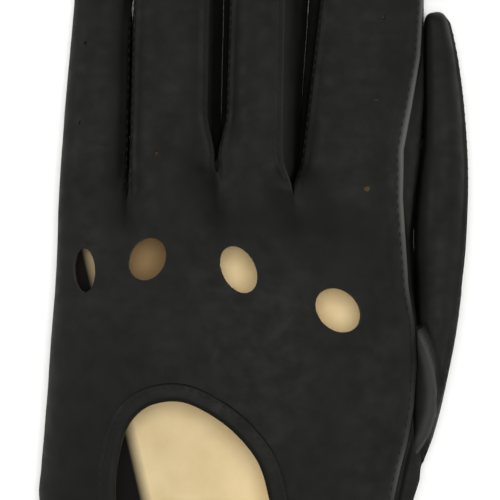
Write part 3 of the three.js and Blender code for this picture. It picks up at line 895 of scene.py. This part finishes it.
# The back opening, fitted between the CAD binding's box and the back opening's box
OPENING = np.array([
    (-10.5, -112), (-10.5, -84), (-8.6, -79), (-2, -72), (3, -63), (4.8, -56), (4.5, -51.5), (1.5, -41.5),
    (-5.25, -33.25), (-13.5, -27.75), (-20, -26), (-27, -27.6), (-32, -32.8), (-34.6, -42), (-35.2, -51),
    (-34, -60), (-28.4, -71), (-20.4, -79), (-18.5, -84), (-18.5, -112),
]) + (SHIFT, 0)


def catmull(p0, p1, p2, p3, t):
    """Point at t of the smooth curve from p1 to p2."""
    return 0.5 * (2 * p1 + (p2 - p0) * t + (2 * p0 - 5 * p1 + 4 * p2 - p3) * t * t
                  + (3 * p1 - p0 - 3 * p2 + p3) * t ** 3)


def smooth_path(points, per=10):
    """A smooth open curve through the points."""
    p = np.vstack([points[0], points, points[-1]])
    out = [catmull(*p[i:i + 4], t) for i in range(len(p) - 3) for t in np.linspace(0, 1, per, endpoint=False)]
    return np.array(out + [p[-2]])


opening_path = smooth_path(OPENING)


def hand_skin(part):
    """All four strips behind the split line, joined into one sheet."""
    points, normals, quads, start = [], [], [], 0
    for name in FINGERS:
        g, n = shaped[name, part][:len(hand_rows)], final_normals[name, part][:len(hand_rows)]
        points.append(g.reshape(-1, 3))
        normals.append(n.reshape(-1, 3))
        quads.append(quads_of(*g.shape[:2], start))
        start += g.shape[0] * g.shape[1]
    points, normals, quads = (np.concatenate(c) for c in (points, normals, quads))
    keys = np.round(points / WELD).astype(np.int64)
    _, keep, index = np.unique(keys, axis=0, return_index=True, return_inverse=True)
    points, normals, quads = points[keep], normals[keep], index.ravel()[quads]
    p = points[quads]
    size = np.linalg.norm(np.cross(p[:, 2] - p[:, 0], p[:, 3] - p[:, 1]), axis=1)
    return points, normals, quads[size > 1e-6]


# Small air holes punched in the stalls: finger, x, y, radius
VENTS = (("pinky", -42.9, 63.0, 0.6), ("pinky", -44.3, 43.0, 0.6), ("ring", -24.3, 35.6, 0.6),
         ("index", 33.0, 70.0, 0.6), ("index", 30.5, 48.5, 0.6), ("index", 28.5, 26.3, 0.85))


def punch(points, normals, quads, x, y, radius):
    """Removes the faces round the nearest vertex and sets their outer corners on a small circle."""
    hub = int(np.argmin(np.hypot(points[:, 0] - x - SHIFT, points[:, 1] - y)))
    touching = (quads == hub).any(axis=1)
    ring = np.setdiff1d(np.unique(quads[touching]), [hub])
    centre, n = points[hub].copy(), normals[hub]
    d = points[ring] - centre
    up = (d @ n)[:, None] * n
    points[ring] = centre + unit(d - up) * radius + up * 0.3
    return quads[~touching]


def boundary_of(kept, dropped):
    """Vertices on the edge between the faces that are kept and those that are cut away."""
    return np.intersect1d(np.unique(kept), np.unique(dropped))


INSIDE_HOLE, INSIDE_OPENING = 12, 14                # faces lower than these belong to the hand's side
points, normals, quads = hand_skin("back")
# painted highlight along the thumb-side seam of the back of the hand
seam_xy = shaped["index", "back"][:len(hand_rows), 0]
nearest_row = np.clip(np.searchsorted(hand_rows, points[:, 1]), 0, len(hand_rows) - 1)
highlight_paint = seam_highlight(np.linalg.norm(points - seam_xy[nearest_row], axis=1), points[:, 1])
centres = points[quads].mean(axis=1)
for hole in holes:
    inside = (np.linalg.norm(hole.local(centres), axis=1) < 1) & (centres[:, 2] > INSIDE_HOLE)
    ring = boundary_of(quads[~inside], quads[inside])
    quads, centres = quads[~inside], centres[~inside]
    to = hole.plan(unit(hole.local(points[ring])))
    rise = hand_top(to[:, 0], to[:, 1]) - hand_top(points[ring][:, 0], points[ring][:, 1])
    points[ring] = np.column_stack([to, points[ring][:, 2] + rise])
    local = hole.local(points)
    gone = (np.linalg.norm(local, axis=1) - 1) * hole.size.mean()
    turn = np.arctan2(local[:, 1], local[:, 0])
    pucker = 0.16 * np.sin(turn * 9 + hole.at[0]) + 0.1 * np.sin(turn * 14 + hole.at[1])
    near = bell(gone - 1.6, 1.3) * (points[:, 2] > INSIDE_HOLE)
    points += normals * (pucker * near)[:, None]
_, inside = outline_distance(centres[:, :2], opening_path)
inside &= centres[:, 2] > INSIDE_OPENING
ring = boundary_of(quads[~inside], quads[inside])
quads = quads[~inside]
near, _ = outline_distance(points[ring][:, :2], opening_path)
lifted = points[ring][:, 2] - hand_top(points[ring][:, 0], points[ring][:, 1])
points[ring] = np.column_stack([near, hand_top(near[:, 0], near[:, 1]) + lifted])

FOLD_REACH = 9.0                                    # the leather bends over this much each side of the fold
fold_at, fold_axis = pivot("knuckle_fold"), joints["knuckle_fold"]["axis"]
across = unit(np.array([-fold_axis[1], fold_axis[0], 0.0]))
across = across * np.sign(across[1])
fold_span = ("hand", "knuckle_block", fold_at - across * FOLD_REACH, fold_at + across * FOLD_REACH)


def at_split(a, b):
    """Rim edges where the hand skins carry on in the stalls."""
    return (np.abs(a[:, 1] - SPLIT) < 0.01) & (np.abs(b[:, 1] - SPLIT) < 0.01)


piece = Piece()
add_skin(piece, points, normals, quads, highlight_paint=highlight_paint, skip_rim=at_split)
hand_part = slice(2, len(hand_rows))
add_stitches(piece, shaped["index", "back"][hand_part, 5], final_normals["index", "back"][hand_part, 5])
piece.finish("back_of_hand_leather", "nappa_leather", ("back_panel", "knuckle_back_panel"), span=fold_span)

piece = Piece()
add_skin(piece, *hand_skin("palm"), skip_rim=at_split)
piece.finish("palm_leather", "nappa_leather", ("palm_panel", "knuckle_palm_panel"), span=fold_span)


# ---------------------------------------------------------------- finger stalls
FORK_COLUMNS, FORK_FOOT = 17, 0.8                   # columns, and how far the strips start below the crotch
UNDER_BACK, UNDER_PALM = 0.95, 0.7                  # depth of their edges under the walls they are sewn to


def fork_grid(f, side):
    """The strip between a stall's back and palm walls, from the crotch to near the fingertip."""
    crotch, levels = CROTCH[neighbour(f.name, side)], rows[f.name]
    ends = {"back": (0, 2), "palm": (-1, -3)} if side == "radial" else {"back": (-1, -3), "palm": (0, 2)}

    def on(grids, part, column, y):
        return follow(y, levels, grids[f.name, part][:, column])

    kept = [y for y in levels if crotch - 1e-6 <= y <= f.tip - 4.2]
    kept = [crotch] + kept if kept[0] > crotch + 0.05 else kept
    t = np.linspace(0, 1, FORK_COLUMNS)[:, None]
    # the first row is where the strips of two neighbours meet, just inside the crotch
    foot = crotch - FORK_FOOT
    top = on(shaped, "back", ends["back"][0], foot) - (0, 0, 0.9)
    low = on(shaped, "palm", ends["palm"][0], foot) + (0, 0, 0.7)
    out = [top + (low - top) * t]
    for y in kept:
        top, low = (on(shaped, part, ends[part][1], y) - on(base_normals, part, ends[part][1], y) * under
                    for part, under in (("back", UNDER_BACK), ("palm", UNDER_PALM)))
        a = np.linspace(f.back_seam(side, y), f.palm_seam(side, y), FORK_COLUMNS)
        x, z = f.curve(a if side == "radial" else 180 - a, y)
        arc = np.column_stack([x, np.full(FORK_COLUMNS, y), z])
        arc = arc + (top - arc[0]) * (1 - t) ** 3 + (low - arc[-1]) * t ** 8
        w = float(smooth(crotch - 1.0, crotch + 7, y))
        out.append((top * (1 - t) + low * t) * (1 - w) + arc * w)
    return np.array(out), np.array([foot] + kept)


def grid_normals(grid, toward):
    n = unit(np.cross(np.gradient(grid, axis=1), np.gradient(grid, axis=0)))
    return -n if np.median(n @ toward) < 0 else n


def bend_over(at, before, behind):
    """Start and end of a bend along a stall, round the joint at the given point."""
    return (at[0], at[1] - before, at[2]), (at[0], at[1] + behind, at[2])


def stall_spans(f):
    """Row limits and the joint crossed by each of a stall's three lengths."""
    b = f.bends
    s1, s2 = split_levels(f)
    limits = (SPLIT, s1, s2, f.tip + 1)
    bodies = ["knuckle_block"] + [f"{f.name}_{seg}" for seg in SEGMENTS]
    reach = min(8.0, b[1] - s1 - 0.5, s1 - b[0] - 0.2)
    bent = ((min(5.0, b[0] - 20), reach), (7.5, 7.5), (6.0, 6.0))
    for i, label in enumerate(("root", "mid", "end")):
        yield label, limits[i], limits[i + 1], (bodies[i], bodies[i + 1], *bend_over(f.hinge[i], *bent[i]))


LIP_HIGHLIGHT, DARK_LIP = 0.16, 2.0                      # painted highlight strength at a lip, and width of its dyed flesh side
for name, f in fingers.items():
    levels = rows[name]
    forks = {side: fork_grid(f, side) for side in SIDES if f.fork[side]}
    for label, low, high, span in stall_spans(f):
        child = span[1]
        pick = (levels >= low - 1e-6) & (levels <= high + 1e-6)
        web_y = levels[pick][:, None]
        inner_edge = along_rows(low, high)
        for part in PARTS:
            g, n = shaped[name, part][pick], final_normals[name, part][pick]
            gone_by_side = list(zip(SIDES, side_distances(g, part)))
            # painted highlights along the stall lips and along the thumb-side seam
            highlight = np.zeros(g.shape[:2])
            lips = np.zeros(g.shape[:2], bool)
            for side, gone in gone_by_side:
                web = neighbour(name, side)
                lips |= (gone < DARK_LIP) & f.fork[side]
                if web:
                    active = LIP_HIGHLIGHT * smooth(CROTCH[web] - 1, CROTCH[web] + 2, web_y)
                    highlight = np.maximum(highlight, bell(gone, 0.45) * active)
                elif side == "radial" and part == "back":
                    highlight = np.maximum(highlight, seam_highlight(gone, web_y))
            piece = Piece()
            skin, skin_n, skin_q = g.reshape(-1, 3).copy(), n.reshape(-1, 3), quads_of(*g.shape[:2])
            for owner, x, y, radius in VENTS:
                if owner == name and part == "back" and low < y < high:
                    skin_q = punch(skin, skin_n, skin_q, x, y, radius)
            lining = np.where(lips.ravel()[skin_q].any(axis=1), CUT_EDGE, FLESH)
            add_skin(piece, skin, skin_n, skin_q, highlight_paint=highlight.ravel(), skip_rim=inner_edge, inner=lining)
            if part == "back":
                for side, column in (("radial", 3), ("ulnar", -4)):
                    web = neighbour(name, side)
                    if web is None and side == "ulnar":
                        continue
                    column = column if web else 5
                    begin = CROTCH[web] + 1.5 if web else low
                    use = (levels[pick] >= begin) & (levels[pick] <= f.tip - 5)
                    add_stitches(piece, g[use][:, column], n[use][:, column])
            piece.finish(f"{name}_stall_{label}_{part}", "nappa_leather", (f"{child}_{part}",), span=span)
        for side, (fg, fy) in forks.items():
            use = (fy >= low - 1e-6) & (fy <= high + 1e-6)
            g = fg[use]
            n = grid_normals(fg, np.array([1.0 if side == "radial" else -1.0, 0, 0]))[use]
            piece = Piece()
            add_skin(piece, g.reshape(-1, 3), n.reshape(-1, 3), quads_of(*g.shape[:2]), FORK_LEATHER,
                     skip_rim=inner_edge)
            piece.finish(f"{name}_fourchette_{side}_{label}", "nappa_leather",
                         (f"{child}_{side}_fourchette",), span=span)


# ---------------------------------------------------------------- thumb stall
# y, gap to the palm leather beside it, outer x, top z, bottom z
THUMB = np.array([
    (-50, -4.2, 37.4, 10.5, 7.8), (-46, -3.0, 41.0, 13.0, 6.4), (-42, -2.4, 43.4, 15.5, 4.8),
    (-38.5, -2.2, 44.6, 17.0, 4.0), (-35, -2.0, 45.7, 18.6, 2.9), (-30, -1.8, 47.3, 20.0, 2.0),
    (-25, -1.6, 48.2, 21.0, 1.2), (-20, -1.3, 49.3, 21.6, 0.9), (-15, -0.9, 50.3, 22.2, 0.8),
    (-10, -0.2, 51.3, 22.5, 0.7), (-4, 0.15, 52.1, 22.5, 0.6), (4, 0.1, 52.9, 22.5, 0.6),
    (10, 0.1, 53.5, 22.3, 0.6), (16, 0.1, 53.6, 22.0, 0.55), (24, 0.12, 53.8, 21.3, 0.5),
    (34, 0.15, 53.6, 20.5, 0.45), (44, 0.15, 53.0, 19.6, 0.4), (54, 0.15, 51.9, 18.6, 0.4),
    (60, 0.2, 51.0, 17.8, 0.4), (66, 0.3, 50.0, 17.0, 0.4), (72, 0.4, 47.8, 15.5, 0.4),
])
# how far the thumb goes past its CAD box, the length of its rounded end, and how square that end is
THUMB_LONGER, THUMB_ROUND, THUMB_BLUNT = 1.2, 4.0, 3.2
thumb_tip = box("thumb_tip_back")[1][1] + THUMB_LONGER
thumb_dense = np.arange(-50, 80, 0.5)
body_edge = np.interp(thumb_dense, rows["index"], shaped["index", "palm"][:, :, 0].max(axis=1) - SHIFT)
thumb_lines = [np.interp(thumb_dense, THUMB[:, 0], THUMB[:, column]) for column in range(1, 5)]
thumb_lines[0] = thumb_lines[0] + body_edge
thumb_lines = [blur(line, kernel) for line in thumb_lines]


def thumb_ring(angle, y):
    """Points of the thumb's section at y; low on its inner side near the root it tucks under the palm."""
    i, o, t, b = (np.interp(y, thumb_dense, d) for d in thumb_lines)
    k = max(0.0, (y - (thumb_tip - THUMB_ROUND)) / THUMB_ROUND)
    swell = max(0.0, 1 - k ** THUMB_BLUNT) ** (1 / THUMB_BLUNT)
    c, s = np.cos(np.radians(angle)), np.sin(np.radians(angle))
    x = (i + o) / 2 + SHIFT + (o - i) / 2 * swell * power(c, FINGER_N)
    z = (t + b) / 2 + (t - b) / 2 * swell * power(s, FINGER_N)
    below = np.degrees(np.arcsin(np.clip(-s, 0, 1)))
    tuck = 1.3 * (1 - float(smooth(-2, 12, y))) * smooth(0, 30, below) * (1 - smooth(50, 90, below))
    return np.column_stack([x - tuck * (c < 0), np.full(len(x), y), z])


def thumb_seam(y):
    """Section angle of the seam that runs up the outer side of the thumb."""
    return 40 - 28 * float(smooth(-10, 40, y)) - 10 * float(smooth(55, thumb_tip - 3, y))


def even_columns(curve, count):
    """Points along a curve, close together at both ends."""
    run = run_length(curve)
    return follow(arc_columns(run[-1], count), run, curve)


THUMB_FOOT, ROOT_END, THUMB_FOLD = -49.0, -6.0, 21.0
top_of_tube = thumb_tip - THUMB_ROUND
marks = [THUMB_FOOT, ROOT_END, THUMB_FOLD, top_of_tube]
tube = []
for a, b in zip(marks, marks[1:]):
    tube.extend(np.linspace(a, b, int((b - a) / ROW_STEP), endpoint=False))
tube.extend(top_of_tube + THUMB_ROUND * np.sin(np.linspace(0, math.pi / 2 - 0.0005, 16)) ** (2 / THUMB_BLUNT))
tube = np.array(tube)


def thumb_wall(first, last, count):
    """One wall's grid, between two section angles that may change along the thumb."""
    return np.array([even_columns(thumb_ring(np.linspace(first(y), last(y), 220), y), count) for y in tube])


thumb = {"back": thumb_wall(thumb_seam, lambda y: 180, 26),
         "palm": thumb_wall(lambda y: 180, lambda y: 360 + thumb_seam(y), 18)}
thumb_normals = outward_normals(thumb)
thumb_bends = [pivot("thumb_middle_bend"), pivot("thumb_tip_bend")]
thumb_shaped = {}
for part, grid in thumb.items():
    outer = side_distances(grid, part)[0]
    fade = 1 - smooth(thumb_tip - THUMB_ROUND * 0.8, thumb_tip - 1, grid[:, :1, 1])
    h = unevenness(grid) * 0.7 * fade + lip(outer, 0.6 if part == "back" else 0.1) * (0.3 + 0.7 * fade)
    for bend in thumb_bends:
        for offset in THUMB_CREASES:
            h = h - 0.2 * bell(grid[..., 1] - bend[1] - offset, 0.8, 0.5) * smooth(1, 4, outer)
    if part == "back":
        h = h + sewn_edge(grid, THUMB_QUIRK, 0.8)
    thumb_shaped[part] = off_floor(grid + thumb_normals[part] * h[..., None])
thumb_normals = outward_normals(thumb_shaped)

root_row, fold_row = (int(np.argmin(np.abs(tube - y))) for y in (ROOT_END, THUMB_FOLD))
spread = pivot("thumb_spread")
# where the thumb's root starts and stops spreading
root_bend = ((spread[0] - 2, spread[1] + 2, 11), (spread[0] + 7, spread[1] + 25, 11))
# label, first and last row, body before and behind the joint, start and end of the bend
THUMB_SPANS = (
    ("root", 0, root_row, "hand", "thumb_root", root_bend),
    ("mid", root_row, fold_row, "thumb_root", "thumb_proximal", bend_over(thumb_bends[0], 8, 9)),
    ("end", fold_row, len(tube) - 1, "thumb_proximal", "thumb_tip", bend_over(thumb_bends[1], 8, 8)),
)
for label, a, b, parent, child, bend in THUMB_SPANS:
    for part in PARTS:
        g, n = thumb_shaped[part][a:b + 1], thumb_normals[part][a:b + 1]
        foot, top = g[0, 0, 1], g[-1, 0, 1]
        # painted highlights along the outer seam and, on the back, a painted crescent highlight beside the thumb
        # root's sewn edge
        highlight = 0.16 * bell(side_distances(g, part)[0], 0.45)
        if part == "back":
            signed = from_line(thumb[part][a:b + 1], THUMB_QUIRK)
            highlight = highlight + 0.17 * bell(signed + 1.2, 1.1) + 0.22 * bell(signed, 0.35)
        piece = Piece()
        # the foot of the thumb keeps its cut edge; the other ends carry on in the next piece
        carries_on = along_rows(*((top,) if label == "root" else (foot, top)), near=0.03)
        add_skin(piece, g.reshape(-1, 3), n.reshape(-1, 3), quads_of(*g.shape[:2]), highlight_paint=highlight.ravel(),
                 skip_rim=carries_on)
        if part == "back":
            use = g[:, 0, 1] < thumb_tip - 3
            add_stitches(piece, g[use][:, 3], n[use][:, 3])
        piece.finish(f"thumb_stall_{label}_{part}", "nappa_leather", (f"{child}_{part}",),
                     span=(parent, child, *bend))


# ---------------------------------------------------------------- binding, hem, strap, snap
def back_frame(x, y):
    """Points and normals of the smooth back of the hand at plan points."""
    e = 0.4
    z = hand_top(x, y)
    n = np.stack([(hand_top(x - e, y) - hand_top(x + e, y)) / (2 * e),
                  (hand_top(x, y - e) - hand_top(x, y + e)) / (2 * e), np.ones_like(x)], -1)
    p = np.stack([x, y, z], -1)
    n = unit(n)
    return p + n * hand_relief(p)[..., None], n


def sweep(piece, centres, outs, ups, profile, sub=2):
    """Sweeps a closed (out, up) profile along a path."""
    prof = np.array(profile, float)
    fine = np.array([catmull(*np.roll(prof, 1 - i, axis=0)[:4], t)
                     for i in range(len(prof)) for t in np.linspace(0, 1, sub, endpoint=False)])
    rings = centres[:, None] + outs[:, None] * fine[None, :, :1] + ups[:, None] * fine[None, :, 1:]
    tangent = unit(np.gradient(centres, axis=0))
    around = np.roll(rings, -1, axis=1) - np.roll(rings, 1, axis=1)
    n = unit(np.cross(around, tangent[:, None]))
    if np.mean(np.einsum("ijk,ijk->ij", n, rings - rings.mean(axis=1, keepdims=True))) < 0:
        n = -n
    add_tube(piece, rings, n, FACE)


CUFF_Y, SLIT_FOOT_Y = -105.0, -105.6
path = opening_path[opening_path[:, 1] > SLIT_FOOT_Y]
path = np.vstack([[path[0][0], SLIT_FOOT_Y], path, [path[-1][0], SLIT_FOOT_Y]])
step = run_length(path)
path = follow(np.linspace(0, step[-1], int(step[-1] / ROW_STEP)), step, path)
p, up = back_frame(path[:, 0], path[:, 1])
out = unit(np.cross(unit(np.gradient(p, axis=0)), up))
if np.mean((out[:, :2] * (path - np.array([-15 + SHIFT, -55]))).sum(1)) < 0:
    out = -out
BIND = [
    (3.9, -0.2), (3.85, 0.45), (3.3, 0.72), (2.3, 0.78), (1.2, 0.86), (0.35, 0.82), (-0.35, 0.45),
    (-0.62, -0.25), (-0.5, -1.1), (0.1, -1.62), (1.2, -1.75), (2.6, -1.7), (2.9, -1.45), (2.6, -1.2),
    (1.2, -0.9), (2.6, -0.5),
]
piece = Piece()
sweep(piece, p, out, up, BIND)
add_stitches(piece, p + out * 2.95 + up * 0.72, up, lift=0.06)
piece.finish("back_opening_binding", "trim_leather", ("opening_binding",), body="hand")

# Turned hem: rolled cuff edge from one side of the slit right round to the other
a = np.linspace(91.0, -249.0, 260)
hx, hz = hand_curve(np.where(a < 0, a + 360, a), CUFF_Y)
ring = np.column_stack([hx, np.full(len(a), CUFF_Y), hz])
along = np.tile(np.array([0.0, 1.0, 0.0]), (len(a), 1))
outward = unit(np.cross(unit(np.gradient(ring, axis=0)), along))
if np.mean(outward[:, 0] * (hx - hx.mean())) < 0:
    outward = -outward
ring[:, 2] = np.maximum(ring[:, 2], 0.34)           # the roll stands this far out of the cuff
HEM = [
    (-2.1, 5.4), (-1.3, 5.4), (-1.15, 3.0), (-1.05, 0.4), (-0.6, 0.1), (-0.05, 0.4), (0.0, 2.4), (0.14, 2.3),
    (0.32, 1.2), (0.34, 0.0), (0.1, -0.9), (-0.6, -1.35), (-1.5, -1.2), (-2.05, -0.4), (-2.2, 1.6),
]
piece = Piece()
sweep(piece, ring, outward, along, HEM)
add_stitches(piece, ring + along * 3.4 + outward * 0.02, outward)
piece.finish("cuff_hem_leather", "trim_leather", ("cuff_hem",), body="hand")

# Wrist strap: two layers sewn round the edge, with a rounded free end
STRAP_THICK, INSET = 1.25, 1.5
s_low, s_high = box("wrist_strap")
strap_y, half = (s_low[1] + s_high[1]) / 2, (s_high[1] - s_low[1]) / 2
bow_x = s_high[0] - half                            # where the straight sides turn into the rounded end
LIFT = np.array([(-38, 0.4), (-24, 1.5), (-4, 2.4), (12, 3.5)]) + (SHIFT, 0)
xs = np.concatenate([np.linspace(s_low[0], bow_x, 100)[:-1],
                     bow_x + half * np.sin(np.linspace(0, math.pi / 2, 18)) * 0.999])
rise = hand_top(xs, strap_y) + np.interp(xs, LIFT[:, 0], LIFT[:, 1])
smoothing = np.exp(-0.5 * (np.arange(-6, 7) / 3.0) ** 2)
smoothing /= smoothing.sum()
rise[6:-6] = np.convolve(rise, smoothing, mode="valid")
widths = np.where(xs < bow_x, half, np.sqrt(np.maximum(0.0, half ** 2 - (xs - bow_x) ** 2)) + 0.02)
v = np.sin(np.linspace(-math.pi / 2, math.pi / 2, 27))
top = np.zeros((len(xs), len(v), 3))
top[..., 0] = xs[:, None]
top[..., 1] = strap_y + widths[:, None] * v[None]
lower = top.copy()
border = np.minimum(widths[:, None] * (1 - np.abs(v))[None], (xs - s_low[0])[:, None])
round_edge = np.sqrt(np.maximum(0.0, 1 - (1 - np.clip(border / 0.75, 0, 1)) ** 2))
puff = 0.25 * smooth(1.2, 3.2, border) - 0.18 * bell(border - 1.5, 0.3)
top[..., 2] = rise[:, None] + STRAP_THICK / 2 + (STRAP_THICK / 2) * round_edge + puff * 0.8
lower[..., 2] = rise[:, None] + STRAP_THICK / 2 - (STRAP_THICK / 2) * round_edge
faces = quads_of(*top.shape[:2])
piece = Piece()
piece.add(top, grid_normals(top, np.array([0, 0, 1.0])), faces[:, ::-1], FACE)
piece.add(lower, grid_normals(lower, np.array([0, 0, -1.0])), faces, FACE)
sides = [np.column_stack([x, np.full(len(x), strap_y + side * (half - INSET))])
         for side in (-1, 1) for x in [xs[(xs > s_low[0] + INSET) & (xs <= bow_x)]]]
bow = np.linspace(-math.pi / 2, math.pi / 2, 40)
free_end = np.column_stack([bow_x + (half - INSET) * np.cos(bow), strap_y + (half - INSET) * np.sin(bow)])
across = np.linspace(strap_y - half + INSET, strap_y + half - INSET, 12)
sewn_end = np.column_stack([np.full(12, s_low[0] + INSET), across])
for line in (np.vstack([sides[0], free_end, sides[1][::-1]]), sewn_end):
    height = np.interp(line[:, 0], xs, rise) + STRAP_THICK - 0.05
    add_stitches(piece, np.column_stack([line, height]), np.tile([0, 0, 1.0], (len(line), 1)), lift=0.05)
piece.finish("wrist_strap_leather", "nappa_leather", ("wrist_strap",), body="strap")


# Turned snap parts: node, body, (radius, height) points
SNAPS = (
    ("snap_cap", "strap", (
        (0.01, 0.0), (5.5, 0.0), (5.95, 0.25), (6.0, 0.6), (5.6, 1.1), (4.9, 1.3), (4.6, 1.22), (4.3, 1.42),
        (3.0, 1.85), (1.5, 2.05), (0.01, 2.1))),
    ("snap_socket", "strap", (
        (2.4, 0.0), (4.6, 0.0), (4.8, 0.3), (4.8, 0.8), (4.5, 1.0), (2.6, 1.0), (2.4, 0.8), (2.4, 0.0))),
    ("snap_stud", "hand", (
        (0.01, 0.0), (3.4, 0.0), (3.4, 0.5), (2.2, 0.6), (1.8, 0.8), (1.8, 1.2), (2.0, 1.5), (1.6, 1.78),
        (0.01, 1.8))),
    ("snap_backing_washer", "hand", ((0.01, 0.0), (3.4, 0.0), (3.6, 0.25), (3.4, 0.5), (0.01, 0.5))),
)
turn = np.linspace(0, 2 * math.pi, 56, endpoint=False)


def lathe(line):
    """Turns (radius, height) rows round the upright axis."""
    out, up = line[:, :1], np.repeat(line[:, 1:], len(turn), 1)
    return np.stack([out * np.cos(turn), out * np.sin(turn), up], -1)


for node, body, profile in SNAPS:
    low, high = box(node)
    centre = np.array([(low[0] + high[0]) / 2, (low[1] + high[1]) / 2, low[2]])
    profile = np.array(profile)
    soft = [a * (1 - t) + b * t for a, b in zip(profile, profile[1:]) for t in (0, 0.25, 0.5, 0.75)]
    soft = np.array(soft + [profile[-1]])
    for _ in range(2):
        soft[1:-1] = (soft[:-2] + 2 * soft[1:-1] + soft[2:]) / 4
    d = np.gradient(soft, axis=0)
    piece = Piece()
    add_tube(piece, centre + lathe(soft), lathe(unit(np.column_stack([d[:, 1], -d[:, 0]]))), FACE)
    piece.finish(f"{node}_metal", "snap_metal", (node,), body=body)


# ---------------------------------------------------------------- floor, light, camera
mesh = bpy.data.meshes.new("floor")
reach = 3.0                                         # metres
corners = [(-reach, -reach, 0), (reach, -reach, 0), (reach, reach, 0), (-reach, reach, 0)]
mesh.from_pydata(corners, [], [(0, 1, 2, 3)])
floor = bpy.data.objects.new("floor", mesh)
floor.data.materials.append(floor_material("pale_floor", (0.88, 0.88, 0.87), 0.9))
bpy.context.scene.collection.objects.link(floor)


def area_light(name, place, size, power_w):
    """A round lamp at a place in metres, aimed at the middle of the glove."""
    data = bpy.data.lights.new(name, "AREA")
    data.shape, data.size, data.energy = "DISK", size, power_w
    lamp = bpy.data.objects.new(name, data)
    lamp.location = place
    lamp.rotation_mode = "QUATERNION"
    lamp.rotation_quaternion = Vector([-v for v in place]).to_track_quat("-Z", "Y")
    bpy.context.scene.collection.objects.link(lamp)


area_light("overhead", (0.03, 0.05, 1.5), 0.5, 15.5)
area_light("left_window", (-1.2, 0.5, 0.8), 0.8, 14.0)
area_light("right_fill", (1.2, -0.2, 0.7), 0.8, 11.0)
bpy.context.scene.view_settings.view_transform = "Standard"
world = bpy.data.worlds.new("studio")
bpy.context.scene.world = world
world.use_nodes = True
background = world.node_tree.nodes["Background"]
background.inputs["Color"].default_value = (1, 1, 1, 1)
background.inputs["Strength"].default_value = 0.32

camera = bpy.data.objects.new("camera", bpy.data.cameras.new("camera"))
camera.data.lens = 260
camera.data.sensor_width = 36
camera.location = (-0.00196, 0.011, 0.925)
bpy.context.scene.collection.objects.link(camera)
bpy.context.scene.camera = camera
